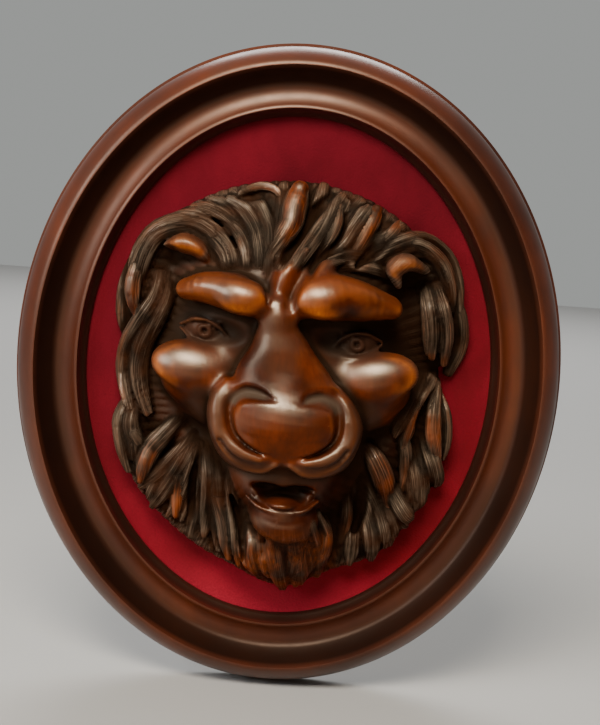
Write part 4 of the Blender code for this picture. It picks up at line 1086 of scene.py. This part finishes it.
def carved_wood():
    """Painted shade in the hollows, hair with dust along its strands, painted light on its crests and
    painted shade in its gaps, and orange-brown wood worn bright on the high places.
    """
    f = Finish("carved_wood")
    names = ("proud", "raised", "low", "face", "wear", "dust", "socket", "facing", "rim", "dim", "upward")
    proud, raised, low, face, wear, dust, socket, facing, rim, dim, upward = map(f.attribute, names)
    hair = f.attribute("hair", "Vector")
    strands = f.noise(f.place((1.5, 0.05, 1.0), hair), 1.0, 3.0, 0.6)
    fine = f.noise(f.place((4.5, 0.10, 1.0), hair), 1.0, 2.0, 0.5)
    blotch = f.noise(f.place(), 38.0)
    grain = f.noise(f.place((620.0, 620.0, 45.0)), 1.0, 3.0, 0.6)

    # Hair: dark, with dust along its strands, painted light on its crests where it stands proud, and painted
    # shade in the gaps between
    dust_and_crest_shading = f.plus(f.span(strands, 0.42, 0.64, 0.0, 0.7), f.span(proud, -1.2, 1.4, -0.75, 0.60))
    dust_and_crest_shading = f.plus(dust_and_crest_shading, f.span(blotch, 0.3, 0.7, -0.25, 0.20))
    hair_dust_and_shading = f.mix(f.span(dust_and_crest_shading, 0.1, 1.2), HAIR, HAIR_DUST_AND_CREST_LIGHT)
    browned = f.noise(f.place(), 70.0, 2.0, 0.5)
    hair_dust_and_shading = f.mix(f.span(browned, 0.42, 0.68, 0.0, 0.6), hair_dust_and_shading, HAIR_BROWN)
    # Locks rubbed through to the wood
    rub = f.plus(wear, f.span(proud, 0.0, 2.2, -0.35, 0.25))
    streaky = f.mix(f.span(wear, 0.35, 0.90), strands, f.mix(0.65, strands, grain))
    rub = f.plus(rub, f.span(streaky, 0.3, 0.7, -0.30, 0.20))
    rub = f.span(rub, 0.15, 0.85)
    patchy = f.plus(f.times(streaky, 0.5), f.times(browned, 0.5))
    warm = f.mix(f.span(patchy, 0.42, 0.60), TIP_DARK, TIP_BRIGHT)
    hair_dust_and_shading = f.mix(rub, hair_dust_and_shading, warm)
    # Face: polished stain, worn orange where it is high, and painted shade in its hollows
    polished = f.mix(f.span(blotch, 0.36, 0.64), STAIN_DARK, STAIN_LIGHT)
    polished = f.mix(f.span(grain, 0.35, 0.75, 0.0, 0.5), polished, STAIN_GRAIN)
    ground = f.mix(face, hair_dust_and_shading, polished)
    high = f.plus(f.span(proud, 0.3, 3.0), f.times(f.span(raised, 0.5, 8.0), 0.75))
    high = f.plus(high, f.span(blotch, 0.34, 0.66, -0.30, 0.45))
    worn = f.times(f.span(high, 0.75, 1.9), face)
    worn = f.times(worn, f.span(facing, 0.55, 0.95, 0.10, 1.0))
    worn = f.times(worn, f.span(rim, 0.0, 1.0, 1.0, 0.12))
    rubbed = f.mix(f.span(grain, 0.3, 0.7), RUBBED_DARK, RUBBED_BRIGHT)
    ground = f.mix(dim, ground, STAIN_DULL)
    colour = f.mix(f.times(worn, 0.85), ground, rubbed)
    # Painted shade: hollows and deep places darkened, on face and hair alike
    shaded_hollows = f.span(f.plus(f.times(proud, 0.7), f.times(raised, 0.5)), -4.0, -0.3, 1.0, 0.0)
    shaded_hollows = f.most(shaded_hollows, f.span(low, -9.0, -2.0, 0.95, 0.0))
    colour = f.mix(shaded_hollows, colour, HOLLOW_SHADE)
    colour = f.mix(f.span(dust, 0.0, 1.0, 0.0, 0.85), colour, SCOOP_DUST)
    # Eye sockets: dust and painted shade, a dark grey-brown
    colour = f.mix(f.span(socket, 0.0, 1.0, 0.0, 0.8), colour, SOCKET_DUST_AND_SHADE)
    f.set("Base Color", colour)
    # Gloss on worn and polished wood that faces the light, and glints along the hair
    shiny = f.most(face, f.times(rub, 0.85))
    hair_share = f.span(face, 0.0, 1.0, 1.0, 0.0)
    glints = f.times(f.span(strands, 0.46, 0.60), f.span(proud, -0.2, 1.0))
    glints = f.times(glints, hair_share)
    shiny = f.most(shiny, glints)
    dull = f.times(f.span(shiny, 0.0, 1.0, 1.0, 0.0), 0.22)
    dull = f.plus(dull, f.times(f.most(shaded_hollows, dust), 0.25))
    gloss = f.plus(f.span(worn, 0.0, 1.0, 0.37, 0.34), dull)
    f.set("Roughness", f.plus(gloss, f.span(blotch, 0.3, 0.7, -0.04, 0.05)))
    hidden = f.most(f.most(shaded_hollows, socket), f.times(dust, 0.6))
    lit = f.most(f.span(upward, 0.0, 1.0, 0.12, 1.0), f.times(glints, 0.6))
    open_to_light = f.times(f.span(hidden, 0.0, 1.0, 1.0, 0.10), lit)
    f.set("Specular IOR Level", f.times(f.span(shiny, 0.0, 1.0, 0.20, 1.0), open_to_light))
    f.set("Specular Tint", (1.0, 0.80, 0.57))
    f.set("Coat Weight", f.times(f.span(shiny, 0.5, 1.0, 0.0, 0.26), open_to_light))
    f.set("Coat Roughness", 0.30)
    hair_share = f.times(hair_share, f.span(wear, 0.15, 0.55, 1.0, 0.10))
    lines = f.times(f.plus(f.times(strands, 0.7), f.times(fine, 0.5)), hair_share)
    normal = f.bump(lines, 0.80, 0.0012)
    normal = f.bump(grain, 0.10, 0.0004, normal)
    f.set("Normal", f.bump(blotch, 0.10, 0.0015, normal))
    return f.material


def moulding_wood():
    """Reddish-brown moulding under a stain and a satin wax, with painted shade darkest in the cove and on
    the inner wall at the sight edge, and worn along the lip.
    """
    f = Finish("frame_wood")
    inset = f.attribute("inset")
    cloud = f.noise(f.place(), 14.0)
    streak = f.noise(f.place((90.0, 260.0, 45.0)), 1.0, 4.0, 0.6)
    colour = f.mix(f.span(cloud, 0.35, 0.65), MOULDING_DARK, MOULDING_LIGHT)
    colour = f.mix(f.span(streak, 0.35, 0.70, 0.0, 0.45), colour, MOULDING_STREAK)
    # Painted shade in the cove, below the arris
    shaded_cove = f.zone(inset, *COVE_SHADE_ZONE)
    colour = f.mix(f.times(shaded_cove, 0.86), colour, COVE_SHADE)
    colour = f.mix(f.times(f.zone(inset, *LIP_ZONE), 0.55), colour, LIP_STAIN)
    # Painted shade on the inner wall at the sight edge
    colour = f.mix(f.times(f.span(inset, *SIGHT_SHADE_ZONE), 0.85), colour, SIGHT_SHADE)
    f.set("Base Color", colour)
    f.set("Roughness", f.span(streak, 0.3, 0.7, 0.34, 0.44))
    f.set("Specular IOR Level", f.span(shaded_cove, 0.0, 1.0, 0.50, 0.12))
    f.set("Specular Tint", (1.0, 0.72, 0.54))
    f.set("Coat Weight", f.span(shaded_cove, 0.0, 1.0, 0.10, 0.0))
    f.set("Coat Roughness", 0.32)
    f.set("Normal", f.bump(streak, 0.06, 0.0006))
    return f.material


def velvet_pile():
    """Crimson cotton velvet, brushed unevenly, with painted light and shade: darker towards the top left,
    lighter towards the bottom right and lightest along the bottom edge.
    """
    f = Finish("velvet")
    brushed = f.noise(f.place((1.0, 1.0, 0.6)), 26.0, 4.0, 0.6)
    tuft = f.noise(f.place(), 900.0, 2.0, 0.6)
    place = f.node("ShaderNodeTexCoord").outputs["Object"]
    split = f.node("ShaderNodeSeparateXYZ", [("Vector", place)])
    # Painted light and shade: darker pile towards the top left, lighter towards the bottom right, lightest
    # along the bottom edge
    slanted = f.plus(split.outputs["Z"], f.times(split.outputs["X"], -0.5))
    lower = f.span(slanted, -0.14, 0.05, 1.0, 0.0)
    painted_light_edge = f.span(split.outputs["Z"], -0.128, -0.098, 1.0, 0.0)
    shaded_top_pile = f.mix(f.span(brushed, 0.35, 0.68), *TOP_PILE_PAINTED_SHADE)
    lit_low_pile = f.mix(f.span(brushed, 0.35, 0.68), *LOW_PILE_PAINTED_LIGHT)
    colour = f.mix(lower, shaded_top_pile, lit_low_pile)
    colour = f.mix(painted_light_edge, colour, EDGE_PILE_PAINTED_LIGHT)
    colour = f.mix(f.span(tuft, 0.4, 0.75, 0.0, 0.35), colour, PILE_SHADE)
    f.set("Base Color", colour)
    f.set("Roughness", 0.95)
    f.set("Specular IOR Level", 0.10)
    f.set("Sheen Weight", 0.45)
    f.set("Sheen Roughness", 0.35)
    f.set("Sheen Tint", (0.85, 0.10, 0.13))
    normal = f.bump(tuft, 0.55, 0.0006)
    f.set("Normal", f.bump(brushed, 0.20, 0.002, normal))
    return f.material


def board_wood():
    """Bare thin board, seen from the back."""
    f = Finish("board_wood")
    rings = f.noise(f.place((180.0, 180.0, 9.0)), 1.0, 4.0, 0.6)
    cloud = f.noise(f.place(), 12.0, 2.0, 0.5)
    colour = f.mix(f.span(rings, 0.32, 0.68), BOARD_DARK, BOARD_LIGHT)
    colour = f.mix(f.span(cloud, 0.3, 0.7, 0.0, 0.4), colour, BOARD_CLOUD)
    f.set("Base Color", colour)
    f.set("Roughness", 0.72)
    f.set("Normal", f.bump(rings, 0.15, 0.0006))
    return f.material


def floor_paint():
    f = Finish("pale_floor")
    f.set("Base Color", FLOOR_GREY)
    f.set("Roughness", 0.85)
    return f.material


def build_stage():
    mesh = bpy.data.meshes.new("floor")
    corners = [(x * FLOOR_HALF, y * FLOOR_HALF, -FRAME_HEIGHT / 2)
               for x, y in ((-1, -1), (1, -1), (1, 1), (-1, 1))]
    mesh.from_pydata(corners, [], [(0, 1, 2, 3)])
    mesh.materials.append(floor_paint())
    floor = new_object("floor", mesh)
    world = bpy.data.worlds.new("studio")
    world.use_nodes = True
    w = Nodes(world.node_tree)
    place = w.node("ShaderNodeTexCoord").outputs["Generated"]
    split = w.node("ShaderNodeSeparateXYZ", [("Vector", place)])
    shade = w.mix(w.span(split.outputs["Y"], -0.4, 0.5), WORLD_BEHIND_CAMERA, WORLD_BEHIND_PLAQUE)
    w.feed(w.tree.nodes["Background"].inputs["Color"], shade)
    bpy.context.scene.world = world


def add_lamp(name, place, target, size, power, colour):
    lamp = bpy.data.lights.new(name, "AREA")
    lamp.shape = "RECTANGLE"
    lamp.size, lamp.size_y = size
    lamp.energy = power
    lamp.color = colour
    holder = new_object(name, lamp)
    holder.location = place
    holder.rotation_euler = (Vector(target) - Vector(place)).to_track_quat("-Z", "Y").to_euler()


def add_camera():
    """The photograph's view: close, a little above the plaque's face and rolled against it."""
    middle = Vector((0.0, -0.5 * MOULDING_DEPTH, 0.0))
    back = Vector((0.0, -math.cos(CAMERA_RISE), math.sin(CAMERA_RISE)))
    right = Vector((1.0, 0.0, 0.0))
    up = back.cross(right)
    right, up = (right * math.cos(CAMERA_ROLL) + up * math.sin(CAMERA_ROLL),
                 up * math.cos(CAMERA_ROLL) - right * math.sin(CAMERA_ROLL))
    off_right = (PHOTO_WIDTH / 2 - CENTRE_IN_PHOTO[0]) / PIXELS_PER_METRE
    off_up = (CENTRE_IN_PHOTO[1] - PHOTO_HEIGHT / 2) / PIXELS_PER_METRE
    aim = middle + right * off_right + up * off_up
    camera = bpy.data.cameras.new("photo_view")
    camera.sensor_width = SENSOR_WIDTH
    camera.lens = PIXELS_PER_METRE * CAMERA_DISTANCE * SENSOR_WIDTH / PHOTO_HEIGHT
    camera.clip_start = NEAREST
    camera.clip_end = FARTHEST
    holder = new_object("photo_view", camera)
    place = aim + back * CAMERA_DISTANCE
    turn = Matrix((right, up, back)).transposed().to_4x4()
    holder.matrix_world = Matrix.Translation(place) @ turn
    bpy.context.scene.camera = holder


def main():
    add_camera()
    build_stage()
    for name, place, target, size, power, colour in LAMPS:
        add_lamp(name, place, target, size, power, colour)
    build_moulding(moulding_wood())
    build_velvet(velvet_pile())
    build_head(carved_wood())
    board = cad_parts["backing_board"]
    board.data.materials.clear()
    board.data.materials.append(board_wood())


main()
